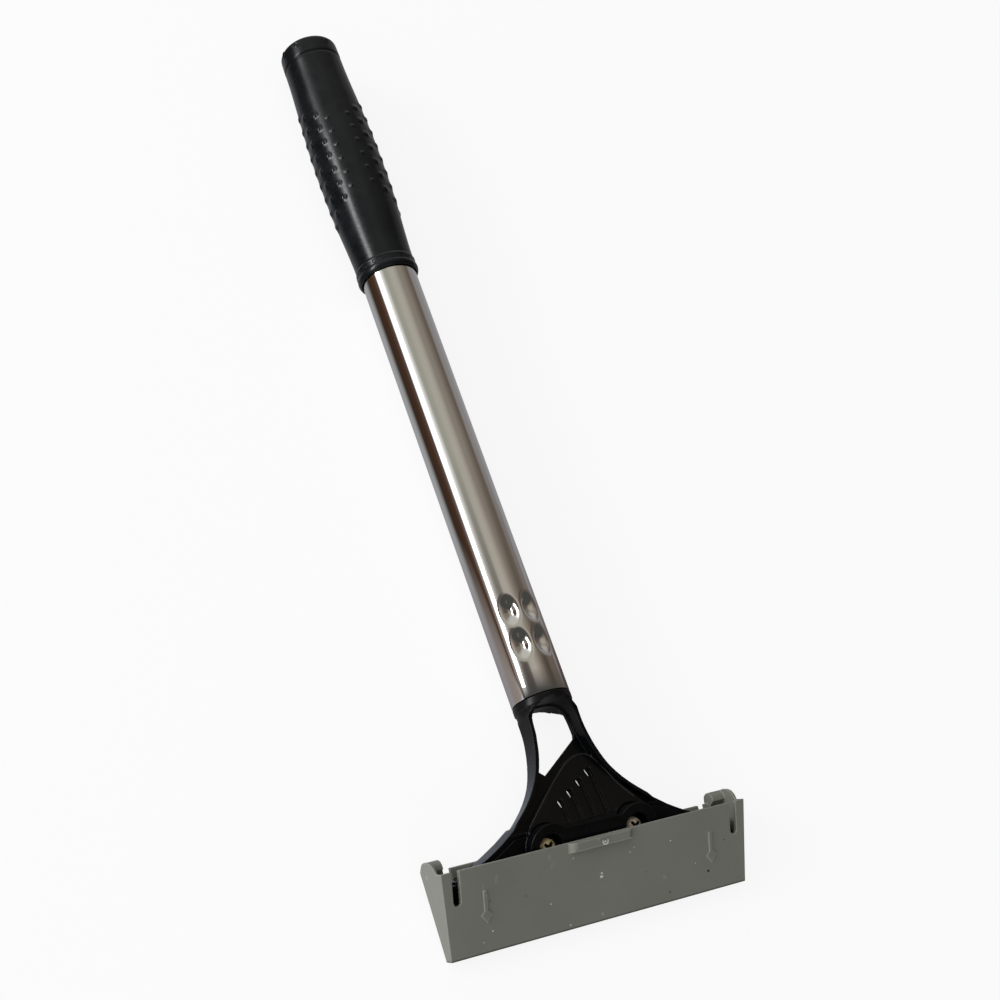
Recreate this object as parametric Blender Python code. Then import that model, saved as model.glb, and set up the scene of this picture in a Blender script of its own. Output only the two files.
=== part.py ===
"""Long-handled blade scraper with a slip-on blade guard, lying on its back.

Units are metres.  +X runs along the blade, +Y towards the grip, and +Z up, away from the surface
that the scraper lies on.  The origin is at the middle of the base of the whole object.
The handle is straight.  Below the bend line the blade, its clamp and its guard lean back, and
there a station is a distance from the bend line towards the cutting edge, and a level is a
height above the blade's middle plane.
"""
import bmesh
import bpy
from math import acos, asin, cos, hypot, pi, radians, sin, tan
from mathutils import Vector

mm = 0.001

# Driving dimensions of the whole scraper
overall_length = 320 * mm
grip_length = 98.6 * mm
bend_reach = 36.6 * mm
bend_angle = radians(17.5)
piece_gap = 0.3 * mm
cut_overrun = 3 * mm

# Handle tube and its four pressed dimples
tube_radius = 9.3 * mm
tube_wall = 1.0 * mm
dimple_depth = 1.3 * mm
dimple_half_length = 5.0 * mm
dimple_half_width = 3.6 * mm
dimple_flat_share = 0.35
dimple_first = 17.9 * mm
dimple_pitch = 10.5 * mm
dimple_angle = radians(22)
dimple_ring_step = 1.4 * mm
round_sides = 48
flat_enough = 0.001 * mm

# Rubber grip
grip_end_wall = 3.5 * mm
grip_end_dish = 0.8 * mm
grip_turn = radians(-16)
grip_widest = 11.65 * mm
nub_radius = 1.0 * mm
nub_height = 0.45 * mm
nub_pitch_share = 0.0585
nub_centre_share = 0.485
nub_column_angle = radians(24)
nub_column_counts = (6, 7, 8, 9, 8, 7, 6)
nub_sides = 8

# Head: spigot, collar and open fan
spigot_length = 36 * mm
spigot_chamfer = 1.0 * mm
collar_height = 2.6 * mm
collar_step = 0.25 * mm
fan_back = 3.0 * mm
fan_front_top = 4.5 * mm
fan_front_low = 2.2 * mm
fan_blend = 5.5 * mm
rail_width = 1.4 * mm
rail_start_share = 0.3279
recess_end_share = 1.0492
relief_end_share = 0.9699
web_front = 0.5 * mm
web_back = 2.0 * mm
fan_flare_shares = (
    (0.0000, 9.0 * mm), (0.1366, 8.8 * mm), (0.2732, 8.9 * mm), (0.4098, 9.7 * mm),
    (0.5464, 11.1 * mm), (0.6831, 13.3 * mm), (0.8197, 17.0 * mm), (0.9563, 22.3 * mm),
    (1.0383, 26.3 * mm), (1.1202, 31.0 * mm))

# Window of the fan
window_top = 2.0 * mm
relief_top = 0.9 * mm
window_half_width = 7.1 * mm
window_corner = 6.0 * mm
window_ledge = 0.4 * mm
window_right_low_share = 0.3388
window_right_nip_share = 0.3716
window_left_low_share = 0.5683
window_tip_share = 0.6284
window_tip_offset = 7.0 * mm
window_left_flare = 2.3 * mm

# Ramped panel with its four grooves; its corners are (place across, share of the bend reach)
panel_top_share = 0.5191
panel_lift_top = 0.3 * mm
panel_lift_low = 3.0 * mm
panel_corner_shares = (
    (-20.5 * mm, 1.0601), (-0.8 * mm, 0.5738), (2.3 * mm, 0.5273), (6.0 * mm, 0.5027),
    (9.2 * mm, 0.5273), (12.0 * mm, 0.6284), (15.6 * mm, 0.8552), (20.5 * mm, 1.0601))
panel_end_share = 1.1202
groove_width = 1.7 * mm
groove_depth = 0.9 * mm
groove_pitch = 4.5 * mm
groove_low_share = 1.0628
groove_first_share = 0.1995
groove_step_share = 0.0710
groove_count = 4

# Bed that carries the blade, measured from the bend line
bed_length = 20 * mm
bed_side_inset = 3.5 * mm
bed_flare_end = 10.5 * mm
bed_back_mid = 5.5 * mm
bed_back_root = 3.2 * mm
bed_rail_level = 2.2 * mm
bed_back_clearance = 0.5 * mm
blade_stop = 10.2 * mm
stop_level = 0.3 * mm

# Blade
blade_length = 100 * mm
blade_width = 19 * mm
blade_thickness = 0.6 * mm
blade_bevel = 1.5 * mm
blade_edge_thickness = 0.1 * mm

# Clamp plate
clamp_top = 2.5 * mm
clamp_low = 18.5 * mm
clamp_side_inset = 0.5 * mm
clamp_inset = 3.3 * mm
clamp_wing_level = 2.4 * mm
clamp_step = 11.6 * mm
pad_half_width = 20 * mm
pad_low = 14 * mm
pad_step = 0.3 * mm
clamp_lift = 0.75 * mm
lifted_clearance = 0.25 * mm

# Screws, 3 mm pan heads, and their nuts
screw_spacing = 30 * mm
screw_station = 6.9 * mm
screw_head_radius = 2.8 * mm
screw_head_height = 1.9 * mm
screw_recess = 2.2 * mm
screw_radius = 1.35 * mm
screw_end_past_nut = 0.1 * mm
screw_chamfer = 0.3 * mm
cross_width = 0.7 * mm
cross_length = 3.2 * mm
cross_depth = 1.1 * mm
boss_radius = 6.9 * mm
counterbore_radius = 4.0 * mm
screw_hole_radius = 1.7 * mm
nut_across_flats = 5.5 * mm
nut_thickness = 1.8 * mm
nut_hole_radius = 1.65 * mm
nut_seat_level = 1.5 * mm
screw_sides = 24

# Blade guard, measured from the bend line
guard_start = 6.5 * mm
guard_height = 25 * mm
guard_front = 8.2 * mm
guard_back = 5.6 * mm
guard_edge_half = 1.75 * mm
guard_wall = 1.5 * mm
guard_end_wall = 0.8 * mm
guard_taper = 1.4 * mm
slot_width = 2.4 * mm
slot_depth = 9.8 * mm
slot_inset = 4.6 * mm
lug_rise = 3.4 * mm
lug_radius = 2.6 * mm
lug_length = 5.4 * mm
lug_level = 3.4 * mm
lug_foot = 2.6 * mm
cheek_front = 4.6 * mm
cheek_step = 0.5 * mm
lip_length = 21.6 * mm
lip_height = 2.7 * mm
lip_reach = 2.2 * mm
lip_step = 0.4 * mm
lip_corner_sides = 5
arrow_station = 13.8 * mm
arrow_inset = 13.5 * mm
arrow_shaft_width = 1.2 * mm
arrow_shaft_length = 5.8 * mm
arrow_head_half_width = 1.8 * mm
arrow_head_length = 3.5 * mm
arrow_relief = 0.35 * mm

# Sizes that follow from the ones above
rail_start = bend_reach * rail_start_share
recess_end = bend_reach * recess_end_share
relief_end = bend_reach * relief_end_share
window_right_low = bend_reach * window_right_low_share
window_right_nip = bend_reach * window_right_nip_share
window_left_low = bend_reach * window_left_low_share
window_tip = bend_reach * window_tip_share
panel_top = bend_reach * panel_top_share
panel_end = bend_reach * panel_end_share
groove_low = bend_reach * groove_low_share
guard_end = guard_start + guard_height
head_reach = bend_reach + guard_end * cos(bend_angle) + guard_edge_half * sin(bend_angle)
tube_shown = overall_length - head_reach - grip_length
tube_length = tube_shown + grip_length - grip_end_wall - piece_gap
axis_height = grip_widest + nub_height
middle_y = overall_length / 2 - head_reach
bed_half_width = blade_length / 2 - bed_side_inset
clamp_half_width = blade_length / 2 - clamp_side_inset
guard_low_width = blade_length + 2 * (piece_gap + guard_end_wall)
guard_width = guard_low_width + 2 * guard_taper
slot_centre = guard_width / 2 - slot_inset
arrow_offset = guard_width / 2 - arrow_inset
guard_front_slope = (guard_front - guard_edge_half) / guard_height
guard_back_slope = (guard_back - guard_edge_half) / guard_height
clamp_front = guard_front - guard_wall - clamp_lift - lifted_clearance
pad_at_screws = clamp_front - guard_front_slope * (screw_station - guard_start)
screw_seat = pad_at_screws - screw_recess - screw_head_height
screw_end = nut_seat_level + nut_thickness + screw_end_past_nut
blade_start = blade_stop + piece_gap
panel_slope = (panel_lift_low - panel_lift_top) / (bend_reach + clamp_top - panel_top)


def start_empty():
    """Removes what the file holds, so that each run starts from nothing."""
    for thing in list(bpy.data.objects):
        bpy.data.objects.remove(thing, do_unlink=True)


def material(name, color, roughness, metallic=0.0):
    """Returns a Principled material."""
    made = bpy.data.materials.new(name)
    made.use_nodes = True
    shader = made.node_tree.nodes["Principled BSDF"]
    shader.inputs["Base Color"].default_value = (*color, 1.0)
    shader.inputs["Roughness"].default_value = roughness
    shader.inputs["Metallic"].default_value = metallic
    made.diffuse_color = (*color, 1.0)
    return made


def empty(name, parent=None, location=(0, 0, 0), tilt=0.0):
    """Adds an empty that carries a local frame, turned about X by tilt."""
    made = bpy.data.objects.new(name, None)
    bpy.context.scene.collection.objects.link(made)
    made.parent = parent
    made.location = location
    made.rotation_euler = (tilt, 0, 0)
    return made


def is_bent(face):
    """Says whether a four-sided face is out of one plane."""
    if len(face.verts) != 4:
        return False
    a, b, c, d = [corner.co for corner in face.verts]
    across = (b - a).cross(c - a)
    return across.length > 0 and abs((d - a).dot(across.normalized())) > flat_enough


def put(name, bm, parent, look=None, location=(0, 0, 0)):
    """Turns a bmesh into an object under the given frame."""
    bmesh.ops.recalc_face_normals(bm, faces=bm.faces)
    bmesh.ops.triangulate(bm, faces=[face for face in bm.faces if is_bent(face)])
    mesh = bpy.data.meshes.new(name)
    bm.to_mesh(mesh)
    bm.free()
    mesh.shade_smooth()
    mesh.set_sharp_from_angle(angle=radians(32))
    made = bpy.data.objects.new(name, mesh)
    bpy.context.scene.collection.objects.link(made)
    made.parent = parent
    made.location = location
    if look:
        mesh.materials.append(look)
    return made


def tool(name, bm, parent, location=(0, 0, 0)):
    """Adds a shape that only cuts or joins others."""
    made = put(name, bm, parent, None, location)
    made.hide_render = True
    made.display_type = "WIRE"
    return made


def combine(target, other, operation):
    """Joins or cuts the target with another object."""
    step = target.modifiers.new(other.name, "BOOLEAN")
    step.operation = operation
    step.solver = "EXACT"
    step.object = other


def join(target, other):
    combine(target, other, "UNION")


def cut(target, other):
    combine(target, other, "DIFFERENCE")


def stacked(sections, ring=False):
    """Bridges equal loops of points, one after another, and closes both ends."""
    bm = bmesh.new()
    loops = [[bm.verts.new(point) for point in section] for section in sections]
    count = len(loops[0])
    pairs = list(zip(loops, loops[1:]))
    if ring:
        pairs.append((loops[-1], loops[0]))
    for low, high in pairs:
        for i in range(count):
            j = (i + 1) % count
            bm.faces.new((low[i], low[j], high[j], high[i]))
    if not ring:
        bm.faces.new(list(reversed(loops[0])))
        bm.faces.new(loops[-1])
    return bm


def prism(outline, low, high):
    """Raises an outline in the XY plane from one level to another."""
    return stacked([[(x, y, low) for x, y in outline], [(x, y, high) for x, y in outline]])


def turned(profile, sides, turn=0.0, shift=None):
    """Turns a closed profile of (place along Y, radius) pairs round the Y axis."""
    sections = []
    for place, radius in profile:
        ring = []
        for i in range(sides):
            angle = turn + 2 * pi * i / sides
            reach = radius - shift(place, angle) if shift else radius
            ring.append((reach * sin(angle), place, reach * cos(angle)))
        sections.append(ring)
    return sections


def upright_cylinder(radius, low, high, sides):
    """Makes a cylinder along Z."""
    return prism(arc((0, 0), radius, 0, 2 * pi, sides)[:-1], low, high)


def read_table(table, place):
    """Reads a value between the rows of a table of (place, value)."""
    if place <= table[0][0]:
        return table[0][1]
    for (p0, v0), (p1, v1) in zip(table, table[1:]):
        if place <= p1:
            return v0 + (v1 - v0) * (place - p0) / (p1 - p0)
    return table[-1][1]


def read_smooth(table, place):
    """Reads a table like read_table, but along a smooth curve through its rows."""
    for i in range(len(table) - 1):
        (p1, v1), (p2, v2) = table[i], table[i + 1]
        if p1 <= place <= p2:
            p0, v0 = table[max(i - 1, 0)]
            p3, v3 = table[min(i + 2, len(table) - 1)]
            span = p2 - p1
            rise1 = (v2 - v0) / (p2 - p0) * span
            rise2 = (v3 - v1) / (p3 - p1) * span
            t = (place - p1) / span
            back = (2 * t - 3) * t * t
            return (v1 * (1 + back) - v2 * back + rise1 * t * (1 - t) ** 2 - rise2 * t * t * (1 - t))
    return read_table(table, place)


def dimple_shift(place, angle):
    """Says how far a dimple presses the wall in at a place on the tube."""
    deepest = 0.0
    turn = (angle + pi) % (2 * pi) - pi
    for side in (-1, 1):
        for row in (0, 1):
            along = (place - dimple_first - row * dimple_pitch) / dimple_half_length
            around = (turn - side * dimple_angle) * tube_radius / dimple_half_width
            reach = hypot(along, around)
            if reach < 1:
                slope = max(0.0, (reach - dimple_flat_share) / (1 - dimple_flat_share))
                deepest = max(deepest, dimple_depth * (1 + cos(pi * slope)) / 2)
    return deepest


def dimple_places(low, high):
    """Lists the places of the rings that a dimpled wall needs between two ends."""
    first = dimple_first - dimple_half_length
    last = dimple_first + dimple_pitch + dimple_half_length
    steps = round((last - first) / dimple_ring_step)
    inner = [first + (last - first) * i / steps for i in range(steps + 1)]
    return [low] + inner + [high]


def make_tube(frame, look):
    """Polished tube with four dimples, which lock it on the head's spigot."""
    places = dimple_places(0.0, tube_length)
    outer = [(place, tube_radius) for place in places]
    inner = [(place, tube_radius - tube_wall) for place in reversed(places)]
    sections = turned(outer + inner, round_sides, shift=dimple_shift)
    return put("handle_tube", stacked(sections, ring=True), frame, look)


def grip_profile():
    """Outer profile of the grip, from its end at the tube to its closed end."""
    rim = 0.88 * grip_widest
    shape_shares = (
        (0.000, 0.862), (0.006, 0.884), (0.045, 0.888), (0.050, 0.864), (0.080, 0.868),
        (0.110, 0.878), (0.150, 0.897), (0.200, 0.924), (0.250, 0.953), (0.300, 0.974),
        (0.350, 0.987), (0.410, 0.996), (0.480, 1.000), (0.560, 0.994), (0.620, 0.979),
        (0.680, 0.958), (0.740, 0.936), (0.800, 0.911), (0.850, 0.893), (0.890, 0.883),
        (0.922, 0.880), (0.928, 0.864), (0.934, 0.882))
    profile = [(grip_length * along, grip_widest * across) for along, across in shape_shares]
    corner = grip_end_dish * 2
    for i in range(5):
        angle = pi / 2 * i / 4
        profile.append((grip_length - corner * (1 - sin(angle)), rim - corner * (1 - cos(angle))))
    return profile


def grip_radius(place):
    """Reads the grip's outer radius at a place along it."""
    return read_table(grip_profile(), place)


def make_grip(frame, look):
    """Rubber sleeve, closed at its end, with two fields of nubs."""
    profile = grip_profile()
    end_hole = tube_radius + piece_gap
    end_place, end_radius = profile[-1]
    floor = grip_length - grip_end_wall
    middle = grip_end_dish
    closed_end = [(end_place - middle, end_radius - 2 * middle), (end_place - middle, middle)]
    bore = [(floor, middle), (floor, end_hole), (0.0, end_hole)]
    bm = stacked(turned(bore + profile + closed_end, round_sides, turn=grip_turn))
    grip = put("grip", bm, frame, look, (0, tube_shown, 0))
    join(grip, tool("nub_field", nubs(), frame, (0, tube_shown, 0)))
    return grip


def nub_seats():
    """Lists each nub as its angle round the grip and its place along it."""
    seats = []
    middle = (len(nub_column_counts) - 1) / 2
    for side in (-1, 1):
        for column, count in enumerate(nub_column_counts):
            angle = side * (pi / 2 + (column - middle) * nub_column_angle)
            for i in range(count):
                share = nub_centre_share + (i - (count - 1) / 2) * nub_pitch_share
                seats.append((angle + grip_turn, grip_length * share))
    return seats


def nubs():
    """Low domes, each sunk a little into the sleeve."""
    bm = bmesh.new()
    sink = nub_height
    rings = ((-sink, 1.0), (0.2 * nub_height, 1.0), (0.7 * nub_height, 0.72))
    for angle, place in nub_seats():
        outward = Vector((sin(angle), 0, cos(angle)))
        across = Vector((cos(angle), 0, -sin(angle)))
        along = Vector((0, 1, 0))
        seat = outward * grip_radius(place) + along * place
        loops = []
        for lift, share in rings:
            loop = []
            for i in range(nub_sides):
                turn = 2 * pi * (i + 0.5) / nub_sides
                reach = across * cos(turn) + along * sin(turn)
                loop.append(bm.verts.new(seat + outward * lift + reach * nub_radius * share))
            loops.append(loop)
        top = bm.verts.new(seat + outward * nub_height)
        for low, high in zip(loops, loops[1:]):
            for i in range(nub_sides):
                j = (i + 1) % nub_sides
                bm.faces.new((low[i], low[j], high[j], high[i]))
        for i in range(nub_sides):
            bm.faces.new((loops[-1][i], loops[-1][(i + 1) % nub_sides], top))
        bm.faces.new(list(reversed(loops[0])))
    return bm


def fan_half_width(drop):
    """Reads half the width of the fan at a drop below the tube's end."""
    return read_smooth(fan_flare_shares, drop / bend_reach)


def fan_front(drop):
    """Front level of the fan's rails, which thins towards the blade."""
    share = min(1, max(0, (drop - fan_blend) / (bend_reach - fan_blend)))
    return fan_front_top + (fan_front_low - fan_front_top) * share


def box_loop(wide, front, back):
    """Sixteen (x, z) pairs round a four-sided section."""
    quarter = 4
    loop = []
    for side in range(4):
        for i in range(quarter):
            lean = tan(-pi / 4 + i / quarter * pi / 2)
            share = (lean + 1) / 2
            corners = ((wide * lean, front), (wide, between(front, -back, share)),
                       (-wide * lean, -back), (-wide, between(-back, front, share)))
            loop.append(corners[side])
    return loop


def fan_section(drop):
    """One loop of the fan: round at the collar and four-sided below."""
    t = min(1, max(0, (drop - collar_height) / (fan_blend - collar_height)))
    t = t * t * (3 - 2 * t)
    neck = tube_radius - collar_step
    loop = []
    for i, (x, z) in enumerate(box_loop(fan_half_width(drop), fan_front(drop), fan_back)):
        angle = -pi / 4 + i * pi / 8
        loop.append((between(neck * sin(angle), x, t), -drop, between(neck * cos(angle), z, t)))
    return loop


def bed_section(station):
    """One loop of the bed, turned back by the bend: thick at the screws and thin at its end."""
    room = guard_back - guard_wall - bed_back_clearance
    back = room - guard_back_slope * (max(station, bed_back_mid) - guard_start)
    if station < bed_back_mid:
        back = between(bed_back_root, back, station / bed_back_mid)
    loop = []
    for x, level in box_loop(bed_half_width_at(station), bed_rail_level, back):
        y = -bend_reach - station * cos(bend_angle) - level * sin(bend_angle)
        loop.append((x, y, level * cos(bend_angle) - station * sin(bend_angle)))
    return loop


def between(a, b, t):
    return a + (b - a) * t


def arc(centre, radius, first, last, steps):
    """Points of an arc in a plane, from one angle to another."""
    points = []
    for i in range(steps + 1):
        angle = between(first, last, i / steps)
        points.append((centre[0] + radius * cos(angle), centre[1] + radius * sin(angle)))
    return points


def head_core(frame, look):
    """Spigot and collar, turned in one, with pockets for the tube's dimples."""
    spigot = tube_radius - tube_wall - piece_gap
    places = dimple_places(spigot_chamfer, spigot_length - spigot_chamfer)
    profile = [(-collar_height, tube_radius), (-piece_gap, tube_radius), (-piece_gap, spigot)]
    profile += [(place, spigot) for place in places]
    profile += [(spigot_length, spigot - spigot_chamfer)]
    return put("head", stacked(turned(profile, round_sides, shift=dimple_shift)), frame, look)


def window_outline():
    """Outline of the window: arched at the tube and cut off aslant below."""
    wide = window_half_width
    arch_y = -window_top - window_corner
    outline = arc((wide - window_corner, arch_y), window_corner, 0, pi / 2, 6)
    outline += arc((window_corner - wide, arch_y), window_corner, pi / 2, pi, 6)
    outline.append((-wide - window_left_flare, -window_left_low))
    outline.append((-window_tip_offset, -window_tip))
    outline.append((wide - window_ledge, -window_right_nip))
    outline.append((wide, -window_right_low))
    return outline


def recess_outline(top, low):
    """Outline inside the rails, where only the thin web is left, arched at its top."""
    wide = window_half_width + window_ledge
    arch_y = -top - window_corner
    drops = [rail_start + (low - rail_start) * i / 12 for i in range(13)]
    right = [(fan_half_width(drop) - rail_width, -drop) for drop in reversed(drops)]
    right += arc((wide - window_corner, arch_y), window_corner, 0, pi / 2, 6)
    return right + [(-x, y) for x, y in reversed(right)]


def panel_outline():
    """Outline of the ramped panel, which runs on under the clamp plate's edge."""
    outline = [(x, -bend_reach * share) for x, share in panel_corner_shares]
    return outline + [(outline[-1][0], -panel_end), (outline[0][0], -panel_end)]


def panel_level(drop):
    """Front level of the panel at a drop below the tube's end."""
    return panel_lift_top + panel_slope * (drop - panel_top)


def make_panel():
    """Wedge that rises from the web towards the clamp plate."""
    outline = panel_outline()
    base = -web_front - (web_back - web_front) / 2
    return stacked([[(x, y, base) for x, y in outline], [(x, y, panel_level(-y)) for x, y in outline]])


def make_grooves():
    """Four round-ended grooves, each longer than the last, with their low ends in line."""
    bm = bmesh.new()
    for k in range(groove_count):
        x = (k - (groove_count - 1) / 2) * groove_pitch
        length = bend_reach * (groove_first_share + k * groove_step_share)
        radius = groove_width / 2
        low = -groove_low + radius
        high = -groove_low + length - radius
        outline = arc((x, high), radius, 0, pi, 6) + arc((x, low), radius, pi, 2 * pi, 6)
        floor = [bm.verts.new((px, py, panel_level(-py) - groove_depth)) for px, py in outline]
        roof = [bm.verts.new((px, py, panel_level(-py) + cut_overrun)) for px, py in outline]
        count = len(outline)
        for i in range(count):
            j = (i + 1) % count
            bm.faces.new((floor[i], floor[j], roof[j], roof[i]))
        bm.faces.new(list(reversed(floor)))
        bm.faces.new(roof)
    return bm


def bed_half_width_at(station):
    """Half the width of the bed, which carries the fan's flare on to its full width."""
    start = fan_half_width(bend_reach)
    full = bed_half_width
    low = fan_half_width(bend_reach + bed_flare_end / 3)
    table = ((0.0, start), (bed_flare_end / 3, low), (bed_flare_end * 0.62, between(low, full, 0.34)),
             (bed_flare_end * 0.82, between(low, full, 0.66)), (bed_flare_end, full))
    return read_table(table, station)


def boss_arc(margin, line):
    """Points of the right boss's rim above a line across the plate, from left to right."""
    radius = boss_radius + margin
    first = asin((screw_station - line) / radius)
    return arc((screw_spacing / 2, -screw_station), radius, pi - first, first, 8)


def clamp_outline(margin, with_bosses):
    """Outline of the clamp plate, grown by a margin, with or without its two bosses."""
    line = clamp_top - margin
    stations = [clamp_top + (clamp_step - clamp_top) * i / 5 for i in range(5)]
    right = [(bed_half_width_at(s) - clamp_inset + margin, -s) for s in stations[1:]]
    right = [(bed_half_width_at(clamp_top) - clamp_inset + margin, -line)] + right
    right.append((clamp_half_width + margin, -clamp_step + margin))
    right.append((clamp_half_width + margin, -clamp_low - margin))
    if with_bosses:
        right = boss_arc(margin, line) + right
    return right + [(-x, y) for x, y in reversed(right)]


def pad_outline():
    """Outline of the proud pad with its two bosses, from the middle of its top edge."""
    rise = acos((pad_half_width - screw_spacing / 2) / boss_radius)
    first = pi - asin((screw_station - clamp_top + pad_step) / boss_radius)
    right = arc((screw_spacing / 2, -screw_station), boss_radius, first, -rise, 14)
    right.append((pad_half_width, -pad_low))
    return right + [(-x, y) for x, y in reversed(right)]


def make_head(frame, blade_frame, look):
    """Black head: spigot, collar, open fan, ramped panel and blade bed in one moulding."""
    head = head_core(frame, look)
    drops = [collar_height - window_ledge, collar_height + window_ledge]
    drops += [between(drops[-1], fan_blend, share) for share in (0.33, 0.66)]
    drops += [fan_blend + (relief_end - fan_blend) * i / 14 for i in range(15)]
    stations = [bed_flare_end * i / 7 for i in range(8)] + [bed_length]
    sections = [fan_section(drop) for drop in drops] + [bed_section(station) for station in stations]
    join(head, tool("fan_and_bed", stacked(sections), frame))
    roof = tube_radius + cut_overrun
    recess = recess_outline(window_top - window_ledge, recess_end)
    cut(head, tool("fan_recess", prism(recess, -web_front, roof), frame))
    relief = recess_outline(relief_top, relief_end)
    cut(head, tool("web_relief", prism(relief, -roof, -web_back), frame))
    join(head, tool("panel_wedge", make_panel(), frame))
    cut(head, tool("window_cut", prism(window_outline(), -roof, roof), frame))
    cut(head, tool("groove_cut", make_grooves(), frame))
    clear = clamp_outline(piece_gap, True)
    cut(head, tool("clamp_space", prism(clear, stop_level, roof), blade_frame))
    seat = blade_thickness / 2 + piece_gap
    wide = bed_half_width + cut_overrun
    blade_room = [(wide, -blade_stop), (wide, -bed_length - cut_overrun),
                  (-wide, -bed_length - cut_overrun), (-wide, -blade_stop)]
    cut(head, tool("blade_room", prism(blade_room, -seat, roof), blade_frame))
    for side, word in ((-1, "left"), (1, "right")):
        place = (side * screw_spacing / 2, -screw_station, 0)
        bore = upright_cylinder(screw_hole_radius, -roof, roof, screw_sides)
        cut(head, tool(word + "_bed_hole", bore, blade_frame, place))
        pocket = hexagon_prism(nut_across_flats + piece_gap, -roof, -nut_seat_level)
        cut(head, tool(word + "_nut_pocket", pocket, blade_frame, place))
    return head


def hexagon_prism(across_flats, low, high):
    """Six-sided prism along Z with two flats facing along X."""
    corner = across_flats / 2 / cos(pi / 6)
    outline = [(corner * sin(pi / 3 * i), corner * cos(pi / 3 * i)) for i in range(6)]
    return prism(outline, low, high)


def make_clamp(blade_frame, look):
    """Clamp plate: thin wings on the blade and a proud pad with a boss round each screw."""
    back = blade_thickness / 2 + piece_gap
    tall = guard_front
    wings = prism(clamp_outline(0.0, False), back, clamp_wing_level)
    clamp = put("clamp_plate", wings, blade_frame, look)
    join(clamp, tool("clamp_pad", prism(pad_outline(), back + pad_step, tall), blade_frame))
    places = [(side * screw_spacing / 2, -screw_station, 0) for side in (-1, 1)]
    over = clamp_half_width + cut_overrun
    sections = []
    for station in (-cut_overrun - boss_radius, clamp_low + cut_overrun):
        level = clamp_front - guard_front_slope * (station - guard_start)
        top = tall + cut_overrun + boss_radius
        sections.append([(-over, -station, level), (over, -station, level), (over, -station, top),
                         (-over, -station, top)])
    cut(clamp, tool("clamp_slope", stacked(sections), blade_frame))
    for place, word in zip(places, ("left", "right")):
        sink = upright_cylinder(counterbore_radius, screw_seat, tall + cut_overrun, 2 * screw_sides)
        cut(clamp, tool(word + "_counterbore", sink, blade_frame, place))
        bore = upright_cylinder(screw_hole_radius, -cut_overrun, tall, screw_sides)
        cut(clamp, tool(word + "_clamp_hole", bore, blade_frame, place))
    return clamp


def make_blade(blade_frame, look):
    """Flat steel blade with a bevelled cutting edge."""
    half = blade_thickness / 2
    edge = blade_edge_thickness / 2
    wide = blade_length / 2
    low = blade_start + blade_width
    profile = ((blade_start, half), (low - blade_bevel, half), (low, edge))
    loop = [(-station, level) for station, level in profile]
    loop += [(-station, -level) for station, level in reversed(profile)]
    return put("blade", stacked([[(x, y, z) for y, z in loop] for x in (-wide, wide)]), blade_frame, look)


def make_screw(name, place, blade_frame, look):
    """Pan-head screw with a cross recess; its origin is on its axis, in the blade's plane."""
    dome_shares = ((0.97, 0.0), (1.0, 0.12), (0.98, 0.45), (0.86, 0.78), (0.62, 0.95), (0.32, 1.0))
    seat = screw_seat + piece_gap / 2
    profile = [(screw_radius - screw_chamfer, -screw_end), (screw_radius, -screw_end + screw_chamfer),
               (screw_radius, screw_seat)]
    profile += [(screw_head_radius * across, seat + screw_head_height * up) for across, up in dome_shares]
    sections = []
    for radius, level in profile:
        ring = arc((0, 0), radius, 0, 2 * pi, screw_sides)[:-1]
        sections.append([(x, y, level) for x, y in ring])
    screw = put(name, stacked(sections), blade_frame, look, place)
    top = screw_seat + screw_head_height
    cross = prism(cross_outline(), top - cross_depth, top + cut_overrun)
    cut(screw, tool(name + "_cross", cross, blade_frame, place))
    return screw


def cross_outline():
    """Outline of the recess for a cross-head driver, turned an eighth of a turn."""
    outline = []
    half = cross_width / 2
    reach = cross_length / 2
    for side in range(4):
        for x, y in ((reach, -half), (reach, half), (half, half)):
            angle = side * pi / 2 + pi / 4
            outline.append((x * cos(angle) - y * sin(angle), x * sin(angle) + y * cos(angle)))
    return outline


def make_nut(name, place, blade_frame, look):
    """Hexagon nut, held in a pocket at the back of the bed."""
    nut = put(name, hexagon_prism(nut_across_flats, -nut_seat_level - nut_thickness - piece_gap / 3,
                                  -nut_seat_level - piece_gap), blade_frame, look, place)
    below = -nut_seat_level - nut_thickness - cut_overrun
    hole = upright_cylinder(nut_hole_radius, below, 0.0, screw_sides)
    cut(nut, tool(name + "_hole", hole, blade_frame, place))
    return nut


def guard_front_level(station):
    """Outer front level of the guard at a station."""
    return guard_front - guard_front_slope * (station - guard_start)


def guard_back_level(station):
    """Outer back level of the guard at a station, as a positive depth."""
    return guard_back - guard_back_slope * (station - guard_start)


def guard_half_width(station):
    """Half the guard's width at a station; it narrows a little towards the cutting edge."""
    share = (station - guard_start + lug_rise) / (guard_height + lug_rise)
    return (guard_width + (guard_low_width - guard_width) * share) / 2


def across_guard(profile, inset):
    """Stretches a closed profile of (station, level) pairs between the guard's two ends."""
    sections = []
    for side in (-1, 1):
        sections.append([(side * (guard_half_width(s) - inset), -s, level) for s, level in profile])
    return stacked(sections)


def guard_profile():
    """Cross section of the guard's ends: a wedge with a round cheek behind the front wall's tab."""
    top = guard_start - cheek_step
    profile = [(guard_end, guard_edge_half), (guard_start, guard_front), (guard_start, cheek_front)]
    span = cheek_front + guard_back
    cheek_shares = ((0.07, 0.42), (0.20, 0.80), (0.38, 0.97), (0.62, 1.0), (0.78, 0.88), (0.90, 0.55))
    for share, rise in cheek_shares:
        profile.append((guard_start - lug_rise * rise, cheek_front - span * share))
    return profile + [(top, -guard_back_level(top)), (guard_end, -guard_edge_half)]


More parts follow.
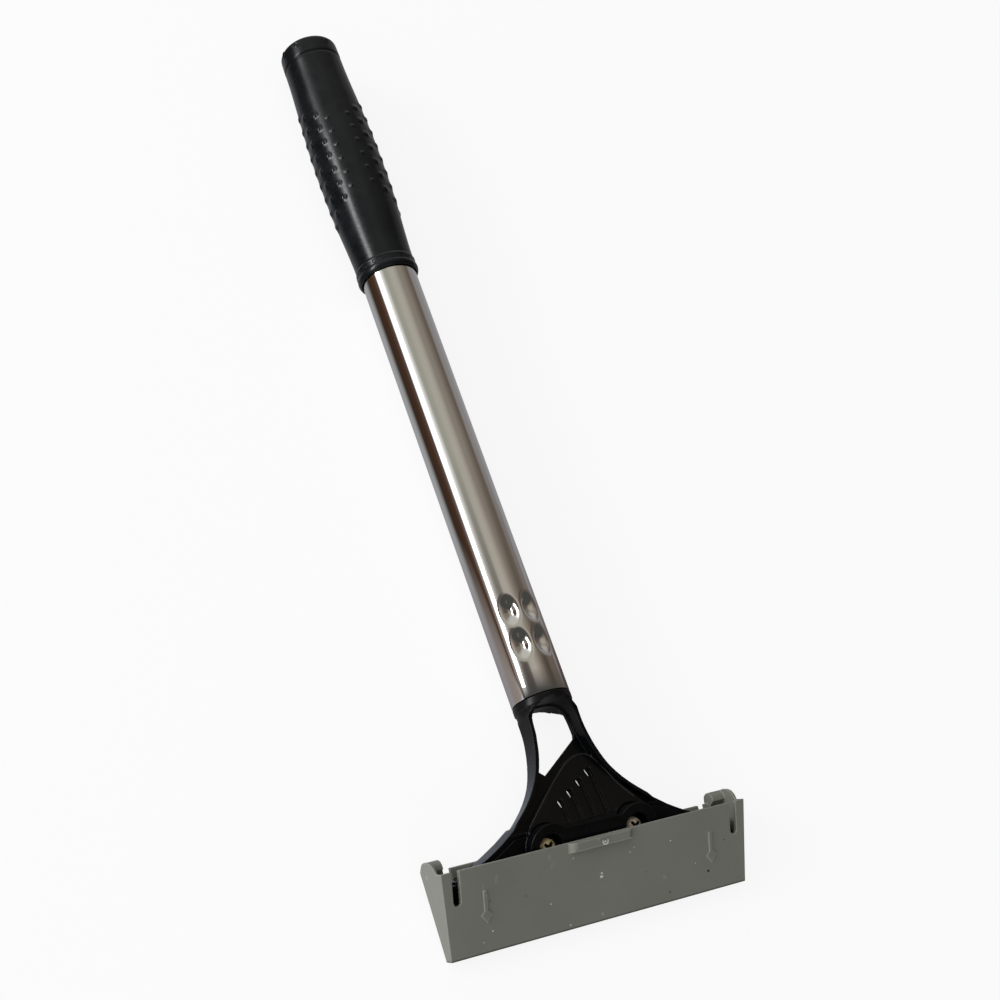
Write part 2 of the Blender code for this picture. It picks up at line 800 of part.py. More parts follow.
def room_profile():
    """Cross section of what the guard is hollowed by, open over the back wall."""
    floor = guard_end - guard_wall
    above = guard_start - lug_rise - cut_overrun
    front = guard_front_level(guard_start) - guard_wall
    back = guard_back_level(guard_start) - guard_wall
    return [(floor, guard_front_level(floor) - guard_wall), (guard_start, front), (above, front),
            (above, -guard_back - cut_overrun), (guard_start, -guard_back - cut_overrun),
            (guard_start, -back), (floor, guard_wall - guard_back_level(floor))]


def lug_profile():
    """Cross section of the round lug inside each end of the guard."""
    centre = guard_start - lug_rise + lug_radius + cheek_step / 2
    profile = arc((centre, -lug_level), lug_radius, pi / 2, 3 * pi / 2, 8)
    low = centre + lug_foot
    profile.append((low, guard_wall / 2 - guard_back_level(low)))
    profile.append((low - guard_wall / 2, guard_wall * 1.3 - guard_back_level(low)))
    return profile


def make_guard(blade_frame, look):
    """Slip-on guard: a wedge-shaped trough with slotted walls, lugs, finger lip and arrows."""
    guard = put("blade_guard", across_guard(guard_profile(), 0.0), blade_frame, look)
    cut(guard, tool("guard_room", across_guard(room_profile(), guard_end_wall), blade_frame))
    for side, word in ((-1, "left"), (1, "right")):
        half = guard_width / 2
        ends = sorted((side * (half - 0.75 * guard_end_wall), side * (half - lug_length)))
        lug = stacked([[(x, -station, level) for station, level in lug_profile()] for x in ends])
        join(guard, tool(word + "_lug", lug, blade_frame))
        front_slot = slot_shape(guard_wall, guard_front + cut_overrun)
        place = (side * slot_centre, 0, 0)
        cut(guard, tool(word + "_front_slot", front_slot, blade_frame, place))
        back_slot = slot_shape(-guard_back - cut_overrun, -guard_wall)
        place = (side * (half - lug_length - slot_width), 0, 0)
        cut(guard, tool(word + "_back_slot", back_slot, blade_frame, place))
        join(guard, tool(word + "_arrow", arrow_shape(), blade_frame, (side * arrow_offset, 0, 0)))
    join(guard, tool("finger_lip", lip_shape(), blade_frame))
    return guard


def slot_shape(low, high):
    """Round-bottomed slot, open at the guard's top edge."""
    radius = slot_width / 2
    base = guard_start + slot_depth - radius
    mouth = cut_overrun + lug_rise - guard_start
    outline = [(radius, mouth), (-radius, mouth)] + arc((0, -base), radius, pi, 2 * pi, 6)
    return prism(outline, low, high)


def lip_shape():
    """Finger lip along the top edge of the front wall, with rounded ends."""
    half = lip_length / 2
    outline = []
    for i in range(lip_corner_sides):
        angle = pi / 2 * (i + 1) / lip_corner_sides
        outline.append((half - lip_reach * (1 - cos(angle)), lip_reach * sin(angle)))
    outline = [(half, -guard_wall / 2)] + outline
    outline += [(-x, level) for x, level in reversed(outline)]
    sections = []
    for station in (guard_start + lip_step, guard_start + lip_step + lip_height):
        front = guard_front_level(station)
        sections.append([(x, -station, front + level) for x, level in outline])
    return stacked(sections)


def arrow_shape():
    """Low raised arrow that points to the cutting edge."""
    half = arrow_shaft_width / 2
    neck = arrow_station + arrow_shaft_length
    mid = neck + arrow_head_length / 3
    tip = neck + arrow_head_length
    right = [(half, arrow_station), (half, neck), (arrow_head_half_width, mid), (0.0, tip)]
    outline = right + [(-x, station) for x, station in reversed(right[:-1])]
    sections = []
    for lift in (-guard_wall / 2, arrow_relief):
        sections.append([(x, -station, guard_front_level(station) + lift) for x, station in outline])
    return stacked(sections)


def build():
    start_empty()
    rubber = material("black_rubber", (0.012, 0.014, 0.016), 0.55)
    steel = material("polished_steel", (0.62, 0.60, 0.57), 0.12, 1.0)
    plastic = material("black_plastic", (0.014, 0.015, 0.018), 0.35)
    brass = material("brass", (0.66, 0.42, 0.20), 0.25, 1.0)
    blade_steel = material("blade_steel", (0.55, 0.56, 0.58), 0.25, 1.0)
    grey = material("grey_plastic", (0.13, 0.135, 0.12), 0.5)

    handle_frame = empty("handle_frame", None, (0, -middle_y, axis_height))
    blade_frame = empty("blade_frame", handle_frame, (0, -bend_reach, 0), bend_angle)

    make_tube(handle_frame, steel)
    make_grip(handle_frame, rubber)
    make_head(handle_frame, blade_frame, plastic)
    make_clamp(blade_frame, plastic)
    make_blade(blade_frame, blade_steel)
    for side, word in ((-1, "left"), (1, "right")):
        place = (side * screw_spacing / 2, -screw_station, 0)
        make_screw(word + "_screw", place, blade_frame, brass)
        make_nut(word + "_nut", place, blade_frame, brass)
    make_guard(blade_frame, grey)


build()
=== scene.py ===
"""Looks of the long-handled blade scraper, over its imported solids.

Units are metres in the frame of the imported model: +X runs along the blade, +Y towards the grip's
closed end and +Z up.  The handle's axis is straight.  Below the bend line a station is a distance
from that line towards the cutting edge, and a level is a height above the blade's middle plane.
A place is a distance along the handle.  Tables whose comment says so are in millimetres.
"""
from math import cos, hypot, pi, radians, sin

import bmesh
import bpy
from mathutils import Matrix, Vector


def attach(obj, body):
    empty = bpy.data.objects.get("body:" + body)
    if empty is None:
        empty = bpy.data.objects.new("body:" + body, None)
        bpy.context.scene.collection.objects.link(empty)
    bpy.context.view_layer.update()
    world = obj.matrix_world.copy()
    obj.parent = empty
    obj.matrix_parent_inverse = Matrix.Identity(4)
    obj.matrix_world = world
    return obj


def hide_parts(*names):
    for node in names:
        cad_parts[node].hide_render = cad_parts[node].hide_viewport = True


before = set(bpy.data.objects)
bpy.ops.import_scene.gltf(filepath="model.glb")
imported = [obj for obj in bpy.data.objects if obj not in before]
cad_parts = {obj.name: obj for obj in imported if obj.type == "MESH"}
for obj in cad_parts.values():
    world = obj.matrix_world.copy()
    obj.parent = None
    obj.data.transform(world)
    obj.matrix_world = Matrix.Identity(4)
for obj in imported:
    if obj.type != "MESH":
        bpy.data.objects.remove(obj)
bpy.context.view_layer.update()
scene = bpy.context.scene

mm = 0.001

# Camera, fitted to the photograph
camera_place = Vector((-253.85, -226.67, 454.51)) * mm
camera_right = Vector((0.87005, -0.32116, 0.37400))
camera_down = Vector((-0.12008, -0.87388, -0.47107))
camera_lens = 61.97

# Places and sizes that repeat the solids' own
tube_mouth = -92.832 * mm
axis_height = 12.1 * mm
bend_reach = 36.6 * mm
bend_angle = radians(17.5)
tube_radius = 9.3 * mm
tube_shown = 154.232 * mm
tube_wall = 1.0 * mm
grip_length = 98.6 * mm
grip_widest = 11.65 * mm
grip_turn = radians(-17)
guard_start = 6.5 * mm
guard_height = 25 * mm
guard_front = 8.2 * mm
guard_edge_half = 1.75 * mm
guard_end = guard_start + guard_height
guard_front_slope = (guard_front - guard_edge_half) / guard_height
lip_reach = 2.2 * mm
screw_spacing = 30 * mm
screw_station = 6.9 * mm
screw_seat = 1.65 * mm
screw_end = 3.40 * mm


def handle_point(x, y, z):
    """Turns a point of the handle, counted from the tube's mouth on its axis, into the frame's."""
    return Vector((x, tube_mouth + y, axis_height + z))


def blade_point(x, station, level):
    """Turns a point beyond the bend line into the frame's."""
    y = -bend_reach - station * cos(bend_angle) - level * sin(bend_angle)
    z = level * cos(bend_angle) - station * sin(bend_angle)
    return handle_point(x, y, z)


def between(a, b, t):
    return a + (b - a) * t


def read_table(table, place):
    """Reads a value between the rows of a table of (place, value)."""
    if place <= table[0][0]:
        return table[0][1]
    for (p0, v0), (p1, v1) in zip(table, table[1:]):
        if place <= p1:
            return between(v0, v1, (place - p0) / (p1 - p0))
    return table[-1][1]


def read_smooth(table, place):
    """Reads a table along a smooth curve through its rows."""
    for i in range(len(table) - 1):
        (p1, v1), (p2, v2) = table[i], table[i + 1]
        if p1 <= place <= p2:
            p0, v0 = table[max(i - 1, 0)]
            p3, v3 = table[min(i + 2, len(table) - 1)]
            span = p2 - p1
            rise1 = (v2 - v0) / (p2 - p0) * span
            rise2 = (v3 - v1) / (p3 - p1) * span
            t = (place - p1) / span
            back = (2 * t - 3) * t * t
            return v1 * (1 + back) - v2 * back + rise1 * t * (1 - t) ** 2 - rise2 * t * t * (1 - t)
    return read_table(table, place)


# Materials

class Nodes:
    """Short calls that build a tree of shader nodes."""

    def __init__(self, tree):
        self.tree = tree

    def node(self, kind, **values):
        made = self.tree.nodes.new(kind)
        for key, value in values.items():
            if hasattr(made, key):
                setattr(made, key, value)
            else:
                made.inputs[key.replace("_", " ")].default_value = value
        return made

    def link(self, source, target):
        self.tree.links.new(source, target)

    def feed(self, socket, value):
        """Sets a socket to a number or a colour, or links another node's output to it."""
        if isinstance(value, (int, float)):
            socket.default_value = value
        elif isinstance(value, tuple):
            socket.default_value = (*value, 1.0)
        else:
            self.link(value, socket)

    def remap(self, source, low, high, to_low, to_high):
        made = self.node("ShaderNodeMapRange", clamp=True)
        made.inputs["From Min"].default_value = low
        made.inputs["From Max"].default_value = high
        made.inputs["To Min"].default_value = to_low
        made.inputs["To Max"].default_value = to_high
        self.link(source, made.inputs["Value"])
        return made.outputs["Result"]

    def math(self, operation, first, second):
        made = self.node("ShaderNodeMath", operation=operation)
        self.feed(made.inputs[0], first)
        self.feed(made.inputs[1], second)
        return made.outputs["Value"]

    def ramp(self, source, stops):
        """Colours along a value: stops are (place, colour)."""
        made = self.node("ShaderNodeValToRGB")
        elements = made.color_ramp.elements
        while len(elements) < len(stops):
            elements.new(0.5)
        for element, (place, color) in zip(elements, stops):
            element.position = place
            element.color = (*color, 1.0)
        self.link(source, made.inputs["Fac"])
        return made.outputs["Color"]

    def mix(self, factor, first, second):
        """Mixes two colours, each a colour or a socket."""
        made = self.node("ShaderNodeMix", data_type="RGBA")
        self.feed(made.inputs[0], factor)
        self.feed(made.inputs[6], first)
        self.feed(made.inputs[7], second)
        return made.outputs[2]

    def mix_shaders(self, factor, first, second):
        made = self.node("ShaderNodeMixShader")
        for socket, value in zip(made.inputs, (factor, first, second)):
            self.link(value, socket)
        return made.outputs["Shader"]


class Shade(Nodes):
    """A Principled material, with short calls for what feeds it."""

    def __init__(self, name, color, roughness, metallic=0.0, **sockets):
        self.made = bpy.data.materials.new(name)
        self.made.use_nodes = True
        super().__init__(self.made.node_tree)
        self.shader = self.tree.nodes["Principled BSDF"]
        self.shader.inputs["Base Color"].default_value = (*color, 1.0)
        self.shader.inputs["Roughness"].default_value = roughness
        self.shader.inputs["Metallic"].default_value = metallic
        for key, value in sockets.items():
            self.shader.inputs[key.replace("_", " ")].default_value = value
        self.bump_chain = None

    def place(self, stretch=(1, 1, 1)):
        """Object coordinates in metres, stretched."""
        coordinates = self.node("ShaderNodeTexCoord")
        mapping = self.node("ShaderNodeMapping")
        mapping.inputs["Scale"].default_value = stretch
        self.link(coordinates.outputs["Object"], mapping.inputs["Vector"])
        return mapping.outputs["Vector"]

    def along(self, origin, direction):
        """Distance of a place from an origin along a direction, in metres."""
        dot = self.node("ShaderNodeVectorMath", operation="DOT_PRODUCT")
        self.link(self.place(), dot.inputs[0])
        dot.inputs[1].default_value = direction
        return self.math("SUBTRACT", dot.outputs["Value"], origin.dot(direction))

    def noise(self, scale, detail=3.0, rough=0.5, stretch=(1, 1, 1)):
        made = self.node("ShaderNodeTexNoise", Scale=scale, Detail=detail, Roughness=rough)
        self.link(self.place(stretch), made.inputs["Vector"])
        return made.outputs["Fac"]

    def spots(self, scale, size, stretch=(1, 1, 1)):
        """Scattered round specks: 1 inside a speck and 0 outside."""
        hard_share = 0.7
        made = self.node("ShaderNodeTexVoronoi", Scale=scale, Randomness=1.0)
        self.link(self.place(stretch), made.inputs["Vector"])
        return self.remap(made.outputs["Distance"], size, size * hard_share, 0.0, 1.0)

    def color(self, source):
        self.link(source, self.shader.inputs["Base Color"])

    def roughness(self, source):
        self.link(source, self.shader.inputs["Roughness"])

    def bump(self, source, height, strength=1.0):
        """Adds a layer of bump; its height is in metres."""
        made = self.node("ShaderNodeBump", Strength=strength, Distance=height)
        self.link(source, made.inputs["Height"])
        if self.bump_chain:
            self.link(self.bump_chain, made.inputs["Normal"])
        self.bump_chain = made.outputs["Normal"]
        self.link(self.bump_chain, self.shader.inputs["Normal"])


def rubber_look():
    """Black moulded rubber: faintly green-blue, satin, with dust and fine mottling."""
    shade = Shade("black_rubber_look", (0.0048, 0.0066, 0.0080), 0.23, Specular_IOR_Level=0.34)
    mottle = shade.noise(150, detail=4, rough=0.6)
    shade.color(shade.ramp(mottle, ((0.35, (0.0034, 0.0049, 0.0062)), (0.68, (0.0062, 0.0083, 0.0100)))))
    dust = shade.noise(900, detail=2, rough=0.6)
    shade.roughness(shade.remap(shade.math("ADD", mottle, dust), 0.7, 1.3, 0.18, 0.29))
    shade.bump(shade.noise(1400, rough=0.6), 0.008 * mm, strength=0.4)
    return shade.made


def steel_look():
    """Polished steel tube with faint lines along it and a little haze."""
    shade = Shade("polished_steel_look", (0.84, 0.83, 0.81), 0.04, metallic=1.0)
    lines = shade.noise(260, rough=0.6, stretch=(8, 0.05, 8))
    shade.roughness(shade.remap(lines, 0.3, 0.7, 0.025, 0.07))
    haze = shade.noise(40, detail=2, stretch=(1, 0.4, 1))
    shade.color(shade.ramp(haze, ((0.3, (0.81, 0.80, 0.78)), (0.7, (0.87, 0.86, 0.84)))))
    shade.bump(lines, 0.003 * mm, strength=0.3)
    return shade.made


def black_plastic_look(name, deep, worn, gloss):
    """Moulded black plastic: satin with a fine grain and paler rubbed places."""
    shade = Shade(name, deep, gloss, Specular_IOR_Level=0.26)
    rub = shade.noise(70, rough=0.6)
    shade.color(shade.ramp(rub, ((0.35, deep), (0.75, worn))))
    grain = shade.noise(1100, rough=0.6)
    shade.roughness(shade.remap(shade.math("ADD", rub, grain), 0.7, 1.3, gloss - 0.05, gloss + 0.08))
    shade.bump(grain, 0.012 * mm, strength=0.4)
    return shade.made


# Painted shade along the guard's cutting-side edge: where it begins and where it is fully dark,
# from the cutting side's end
edge_shade_start = 0.62 * mm
edge_shade_full = 0.30 * mm


def guard_look(name, level):
    """Grey-green moulded plastic: faint flow marks, scuffs, specks and painted shade at the cutting-side
    edge.
    """
    def tone(color):
        return tuple(value * level for value in color)

    shade = Shade(name, tone((0.183, 0.187, 0.160)), 0.44, Specular_IOR_Level=0.35)
    flow = shade.noise(45, detail=4, rough=0.55, stretch=(1, 0.45, 1))
    body = shade.ramp(flow, ((0.30, tone((0.174, 0.178, 0.152))), (0.72, tone((0.194, 0.198, 0.170)))))
    streaks = shade.remap(shade.noise(420, detail=2, stretch=(1, 0.16, 1)), 0.66, 0.74, 0, 1)
    patches = shade.remap(shade.noise(60, detail=2), 0.50, 0.66, 0.0, 0.5)
    body = shade.mix(shade.math("MULTIPLY", streaks, patches), body, tone((0.30, 0.305, 0.275)))
    pale_specks = shade.math("MULTIPLY", shade.spots(95, 0.055), 0.55)
    body = shade.mix(pale_specks, body, tone((0.33, 0.34, 0.30)))
    dark_specks = shade.math("MULTIPLY", shade.spots(70, 0.040, stretch=(1.3, 0.9, 1.1)), 0.75)
    body = shade.mix(dark_specks, body, (0.045, 0.046, 0.040))
    origin = blade_point(0, 0, 0)
    down = (blade_point(0, 1, 0) - origin).normalized()
    station = shade.along(origin, down)
    # Painted shade: the wall darkens towards its cutting-side end
    edge_shade = shade.remap(station, guard_end - edge_shade_start, guard_end - edge_shade_full, 0.0, 0.72)
    shade.color(shade.mix(edge_shade, body, (0.035, 0.036, 0.031)))
    grain = shade.noise(1300, rough=0.6)
    shade.roughness(shade.remap(shade.math("ADD", flow, grain), 0.7, 1.3, 0.38, 0.54))
    shade.bump(grain, 0.02 * mm, strength=0.5)
    return shade.made


def brass_look(name, bright, dark, mark_scale):
    """Plated screw metal: worn bright on top, tarnished in blotches."""
    shade = Shade(name, bright, 0.30, metallic=0.35)
    blotch = shade.noise(mark_scale, rough=0.6)
    shade.color(shade.ramp(blotch, ((0.30, dark), (0.50, bright))))
    shade.roughness(shade.remap(blotch, 0.3, 0.7, 0.42, 0.20))
    shade.bump(shade.noise(2600, detail=2), 0.01 * mm, strength=0.6)
    return shade.made


def blade_look():
    """Ground blade steel: fine lines across the bevel and a thin film of oil."""
    shade = Shade("blade_steel_look", (0.56, 0.57, 0.59), 0.22, metallic=1.0)
    lines = shade.noise(900, detail=2, rough=0.6, stretch=(0.04, 1, 1))
    shade.roughness(shade.remap(lines, 0.3, 0.7, 0.16, 0.32))
    film = shade.noise(60, rough=0.6)
    shade.color(shade.ramp(film, ((0.3, (0.46, 0.47, 0.50)), (0.7, (0.60, 0.61, 0.62)))))
    shade.bump(lines, 0.006 * mm, strength=0.5)
    return shade.made


def mottled_look(name, dark, bright, middle, roughness, scale=900):
    """Plain dull surface in two tones: flecks, painted highlights and near-black cross recesses."""
    shade = Shade(name, middle, roughness)
    shade.color(shade.ramp(shade.noise(scale), ((0.3, dark), (0.7, bright))))
    return shade.made


# Meshes

# Rounding of a moulded piece's edges: what counts as an edge, and the width on each piece
weld_distance = 0.004 * mm
edge_angle = radians(29)
head_edge_width = 0.20 * mm
plate_edge_width = 0.22 * mm
guard_edge_width = 0.20 * mm


def put(name, bm, look, angle=32):
    """Turns a bmesh, already in the frame's coordinates, into an object."""
    bmesh.ops.recalc_face_normals(bm, faces=bm.faces)
    mesh = bpy.data.meshes.new(name)
    bm.to_mesh(mesh)
    bm.free()
    mesh.shade_smooth()
    mesh.set_sharp_from_angle(angle=radians(angle))
    made = bpy.data.objects.new(name, mesh)
    scene.collection.objects.link(made)
    mesh.materials.append(look)
    return made


def ride(piece, body):
    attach(piece, body)
    return piece


def join_loops(bm, low, high):
    """Closes the band between two equal loops of a bmesh's points."""
    for i in range(len(low)):
        j = (i + 1) % len(low)
        bm.faces.new((low[i], low[j], high[j], high[i]))


def stacked(sections, ring=False):
    """Bridges equal loops of points, one after another, and closes both ends or the ring."""
    bm = bmesh.new()
    loops = [[bm.verts.new(point) for point in section] for section in sections]
    pairs = list(zip(loops, loops[1:]))
    if ring:
        pairs.append((loops[-1], loops[0]))
    for low, high in pairs:
        join_loops(bm, low, high)
    if not ring:
        bm.faces.new(list(reversed(loops[0])))
        bm.faces.new(loops[-1])
    return bm


def turned_handle(profile, angles, press=None):
    """Turns a profile of (place, radius) round the handle's axis; press says how far a point goes in."""
    sections = []
    for place, radius in profile:
        section = []
        for angle in angles:
            reach = radius - (press(place, angle) if press else 0.0)
            section.append(handle_point(reach * sin(angle), place, reach * cos(angle)))
        sections.append(section)
    return sections


def apply_steps(thing):
    """Bakes an object's modifiers into its mesh."""
    depsgraph = bpy.context.evaluated_depsgraph_get()
    depsgraph.update()
    done = bpy.data.meshes.new_from_object(thing.evaluated_get(depsgraph))
    thing.modifiers.clear()
    thing.data = done


def cut(thing, tool):
    """Adds a step that takes a tool's shape away."""
    step = thing.modifiers.new(tool.name, "BOOLEAN")
    step.operation = "DIFFERENCE"
    step.solver = "EXACT"
    step.object = tool
    return step


def moulded(node, name, look, edge_highlight_look, width, relief=None):
    """Copies a solid's mesh, rounds its edges a little as a mould does, and replaces the node."""
    made = bpy.data.objects.new(name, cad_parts[node].data.copy())
    scene.collection.objects.link(made)
    bm = bmesh.new()
    bm.from_mesh(made.data)
    bmesh.ops.remove_doubles(bm, verts=bm.verts, dist=weld_distance)
    bm.to_mesh(made.data)
    bm.free()
    made.data.materials.clear()
    made.data.materials.append(look)
    made.data.materials.append(edge_highlight_look)
    for face in made.data.polygons:
        face.material_index = 0
    if relief:
        cut(made, relief)
    bevel = made.modifiers.new("bevel", "BEVEL")
    bevel.width = width
    bevel.segments = 3
    bevel.limit_method = "ANGLE"
    bevel.angle_limit = edge_angle
    bevel.use_clamp_overlap = False
    # The bevel faces take the second, lighter look: a painted highlight along every rounded edge
    bevel.material = 1
    made.data.shade_smooth()
    weighted = made.modifiers.new("weighted", "WEIGHTED_NORMAL")
    weighted.weight = 60
    apply_steps(made)
    if relief:
        bpy.data.objects.remove(relief, do_unlink=True)
    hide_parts(node)
    return made


# Tube

dimple_depth = 1.90 * mm
dimple_half_length = 6.1 * mm
dimple_half_width = 3.75 * mm
dimple_first = 16.3 * mm
dimple_pitch = 11.2 * mm
dimple_angle = radians(22)
dimple_turn = radians(-5.5)
dimple_margin = 1.1 * dimple_half_length
dimple_rings = 130
mouth_roll = 0.25 * mm
tube_end_gap = 3.8 * mm


def dimple_shift(place, angle):
    """Says how far the four dimples press the wall in at a place."""
    total = 0.0
    turn = (angle - dimple_turn + pi) % (2 * pi) - pi
    for side in (-1, 1):
        for row in (0, 1):
            along = (place - dimple_first - row * dimple_pitch) / dimple_half_length
            around = (turn - side * dimple_angle) * tube_radius / dimple_half_width
            reach = hypot(along, around)
            if reach < 1:
                total += 0.5 + 0.5 * cos(pi * reach)
    return dimple_depth * min(total, 1.0)


def make_tube(look):
    """Tube with a rolled mouth and its dimples pressed finely into the wall."""
    first = dimple_first - dimple_margin
    last = dimple_first + dimple_pitch + dimple_margin
    fine = [between(first, last, i / dimple_rings) for i in range(dimple_rings + 1)]
    end = tube_shown + grip_length - tube_end_gap
    far = [between(last, end, i / 6) for i in range(1, 7)]
    inner_radius = tube_radius - tube_wall
    profile = [(0.0, tube_radius - mouth_roll), (mouth_roll * 0.3, tube_radius - mouth_roll * 0.3),
               (mouth_roll, tube_radius)]
    profile += [(place, tube_radius) for place in fine + far]
    profile += [(end, inner_radius)] + [(place, inner_radius) for place in reversed(fine)]
    profile += [(0.0, inner_radius)]
    turns = [radians(between(-60, 60, i / 120)) for i in range(121)]
    turns += [radians(between(60, 300, i / 72)) for i in range(1, 72)]
    tube = put("tube", stacked(turned_handle(profile, turns, dimple_shift), ring=True), look, angle=40)
    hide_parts("handle_tube")
    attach(tube, "handle")


# Grip

grip_sides = 160
grip_bore = 9.55 * mm
grip_bore_start = 0.45 * mm
grip_end_wall = 3.5 * mm
grip_pin_hole = 0.6 * mm
grip_voxel = 0.22 * mm
grip_kept_share = 0.30

# The sleeve between its two rims, as shares of its length and of its widest radius
grip_body_shares = (
    (0.050, 0.866), (0.080, 0.868), (0.110, 0.878), (0.150, 0.897), (0.200, 0.924),
    (0.250, 0.953), (0.300, 0.974), (0.350, 0.987), (0.410, 0.996), (0.480, 1.000),
    (0.560, 0.994), (0.620, 0.979), (0.680, 0.958), (0.740, 0.936), (0.800, 0.911),
    (0.850, 0.893), (0.890, 0.883), (0.922, 0.880))
grip_body_first_share = 0.062
grip_body_last_share = 0.918

# The sleeve's mouth, with its soft rim and the groove behind it, as (place, radius) in millimetres
grip_mouth_rows = (
    (0.30, 9.62), (0.02, 9.66), (0.04, 9.82), (0.30, 10.10), (0.70, 10.34), (1.20, 10.50),
    (1.70, 10.54), (2.15, 10.46), (2.40, 10.32), (2.70, 10.28), (3.60, 10.28), (4.25, 10.30),
    (4.45, 10.40), (4.70, 10.40), (4.90, 10.24), (5.10, 10.10), (5.45, 10.07))

# The closed end: its groove from the groove's place and its face from the end, as (place, radius
# beyond the cap's), in millimetres
grip_cap_radius = 0.884 * grip_widest
grip_cap_groove = 0.928 * grip_length
grip_cap_groove_rows = ((-0.45, -0.10), (-0.20, -0.30), (0.0, -0.38), (0.20, -0.28), (0.35, -0.05),
                        (0.70, 0.0), (2.0, -0.02))
grip_cap_corner = 1.9 * mm
grip_cap_fall = 0.10 * mm
grip_cap_corner_start = 2.2 * mm
grip_cap_face_rows = ((-0.25, -3.0), (-0.70, -3.6), (-0.80, -4.4))

nub_pitch_share = 0.0585
nub_centre_share = 0.485
nub_column_angle = radians(24)
nub_column_counts = (6, 7, 8, 9, 8, 7, 6)
nub_column_sizes = (0.55, 0.92, 1.0, 1.0, 1.0, 0.92, 0.55)
nub_radius = 1.0 * mm
nub_height = 0.47 * mm
nub_skirt = 0.95
nub_foot = 0.16

# Small moulded marks as (degrees round the sleeve, place along it): rings and dots on the rim at
# the mouth, which come five times round, and rings round a dot on the rim at the closed end.  A
# ring's size is (radius, half thickness, height), and a dot's is (radius, height)
rim_repeats = 5
rim_repeat_degrees = 72
rim_ring = (-45, 3.5 * mm)
rim_dots = ((-88, 3.75 * mm), (-83, 3.2 * mm), (-71, 3.9 * mm), (-66, 3.4 * mm), (-59, 3.3 * mm),
            (-54, 3.9 * mm), (-33, 3.7 * mm), (-29, 3.3 * mm), (-24, 3.8 * mm))
rim_radius = 10.28 * mm
rim_ring_size = (0.62 * mm, 0.15 * mm, 0.13 * mm)
rim_dot_size = (0.24 * mm, 0.13 * mm)
cap_marks = ((-47, 96.0 * mm), (-82, 96.4 * mm), (18, 95.6 * mm), (78, 96.0 * mm), (133, 96.0 * mm),
             (-142, 96.0 * mm))
cap_mark_sink = 0.05 * mm
cap_ring_size = (0.85 * mm, 0.24 * mm, 0.16 * mm)
cap_dot_size = (0.30 * mm, 0.14 * mm)


def grip_body_radius(place):
    """Radius of the sleeve between its two rims."""
    return grip_widest * read_smooth(grip_body_shares, place / grip_length)


def grip_outline():
    """Fine profile of the sleeve: soft rims, a groove behind each, and a round closed end."""
    points = [(place * mm, radius * mm) for place, radius in grip_mouth_rows]
    for i in range(61):
        place = grip_length * between(grip_body_first_share, grip_body_last_share, i / 60)
        points.append((place, grip_body_radius(place)))
    points += [(grip_cap_groove + place * mm, grip_cap_radius + beyond * mm)
               for place, beyond in grip_cap_groove_rows]
    top = grip_cap_radius - grip_cap_fall
    points.append((grip_length - grip_cap_corner_start, top))
    for i in range(1, 9):
        angle = pi / 2 * i / 8
        points.append((grip_length - grip_cap_corner * (1 - sin(angle)),
                       top - grip_cap_corner * (1 - cos(angle))))
    points += [(grip_length + place * mm, grip_cap_radius + beyond * mm)
               for place, beyond in grip_cap_face_rows]
    points.append((points[-1][0], grip_pin_hole))
    return points


def circle_loops(bm, seat, outward, along, rows, sides, radius=1.0, height=1.0):
    """Adds loops of points round a seat, from rows of (reach, lift) in parts of a radius and a height."""
    across = outward.cross(along).normalized()
    loops = []
    for reach, lift in rows:
        loop = []
        for i in range(sides):
            turn = 2 * pi * i / sides
            flat = across * cos(turn) + along * sin(turn)
            loop.append(bm.verts.new(seat + outward * lift * height + flat * reach * radius))
        loops.append(loop)
    return loops


def add_dome(bm, seat, outward, along, radius, height, rows=4, sides=14, skirt=0.32, foot=0.0):
    """Adds a low dome with a flared foot to a bmesh."""
    shoulder = foot + 0.16
    shape = [(1 + skirt, foot - 0.30), (1 + skirt * 0.45, foot + 0.02), (1.0, shoulder)]
    for i in range(1, rows + 1):
        angle = pi / 2 * i / (rows + 1)
        shape.append((cos(angle), shoulder + (0.84 - foot) * sin(angle)))
    loops = circle_loops(bm, seat, outward, along, shape, sides, radius, height)
    top = bm.verts.new(seat + outward * height)
    for low, high in zip(loops, loops[1:]):
        join_loops(bm, low, high)
    for i in range(sides):
        bm.faces.new((loops[-1][i], loops[-1][(i + 1) % sides], top))
    bm.faces.new(list(reversed(loops[0])))


def add_ring_mark(bm, seat, outward, along, radius, thick, height, sides=20):
    """Adds a small raised ring to a bmesh."""
    shape = ((radius - thick, -0.5 * height), (radius - thick, 0.6 * height),
             (radius - 0.3 * thick, height), (radius + 0.3 * thick, height),
             (radius + thick, 0.6 * height), (radius + thick, -0.5 * height))
    loops = circle_loops(bm, seat, outward, along, shape, sides)
    for low, high in zip(loops, loops[1:] + loops[:1]):
        join_loops(bm, low, high)


def grip_seat(angle, place, radius):
    """Returns a point on the sleeve and the direction outward from there."""
    outward = Vector((sin(angle), 0, cos(angle)))
    return handle_point(radius * sin(angle), tube_shown + place, radius * cos(angle)), outward


def add_nubs(bm, along):
    """Adds the two fields of nubs, each of columns that get shorter and lower to its sides."""
    middle = (len(nub_column_counts) - 1) / 2
    for side in (-1, 1):
        for column, count in enumerate(nub_column_counts):
            angle = side * (pi / 2 + (column - middle) * nub_column_angle) + grip_turn
            size = nub_column_sizes[column]
            for i in range(count):
                place = grip_length * (nub_centre_share + (i - (count - 1) / 2) * nub_pitch_share)
                seat, outward = grip_seat(angle, place, grip_body_radius(place))
                add_dome(bm, seat, outward, along, nub_radius * size, nub_height * (0.35 + 0.65 * size),
                         skirt=nub_skirt, foot=nub_foot)


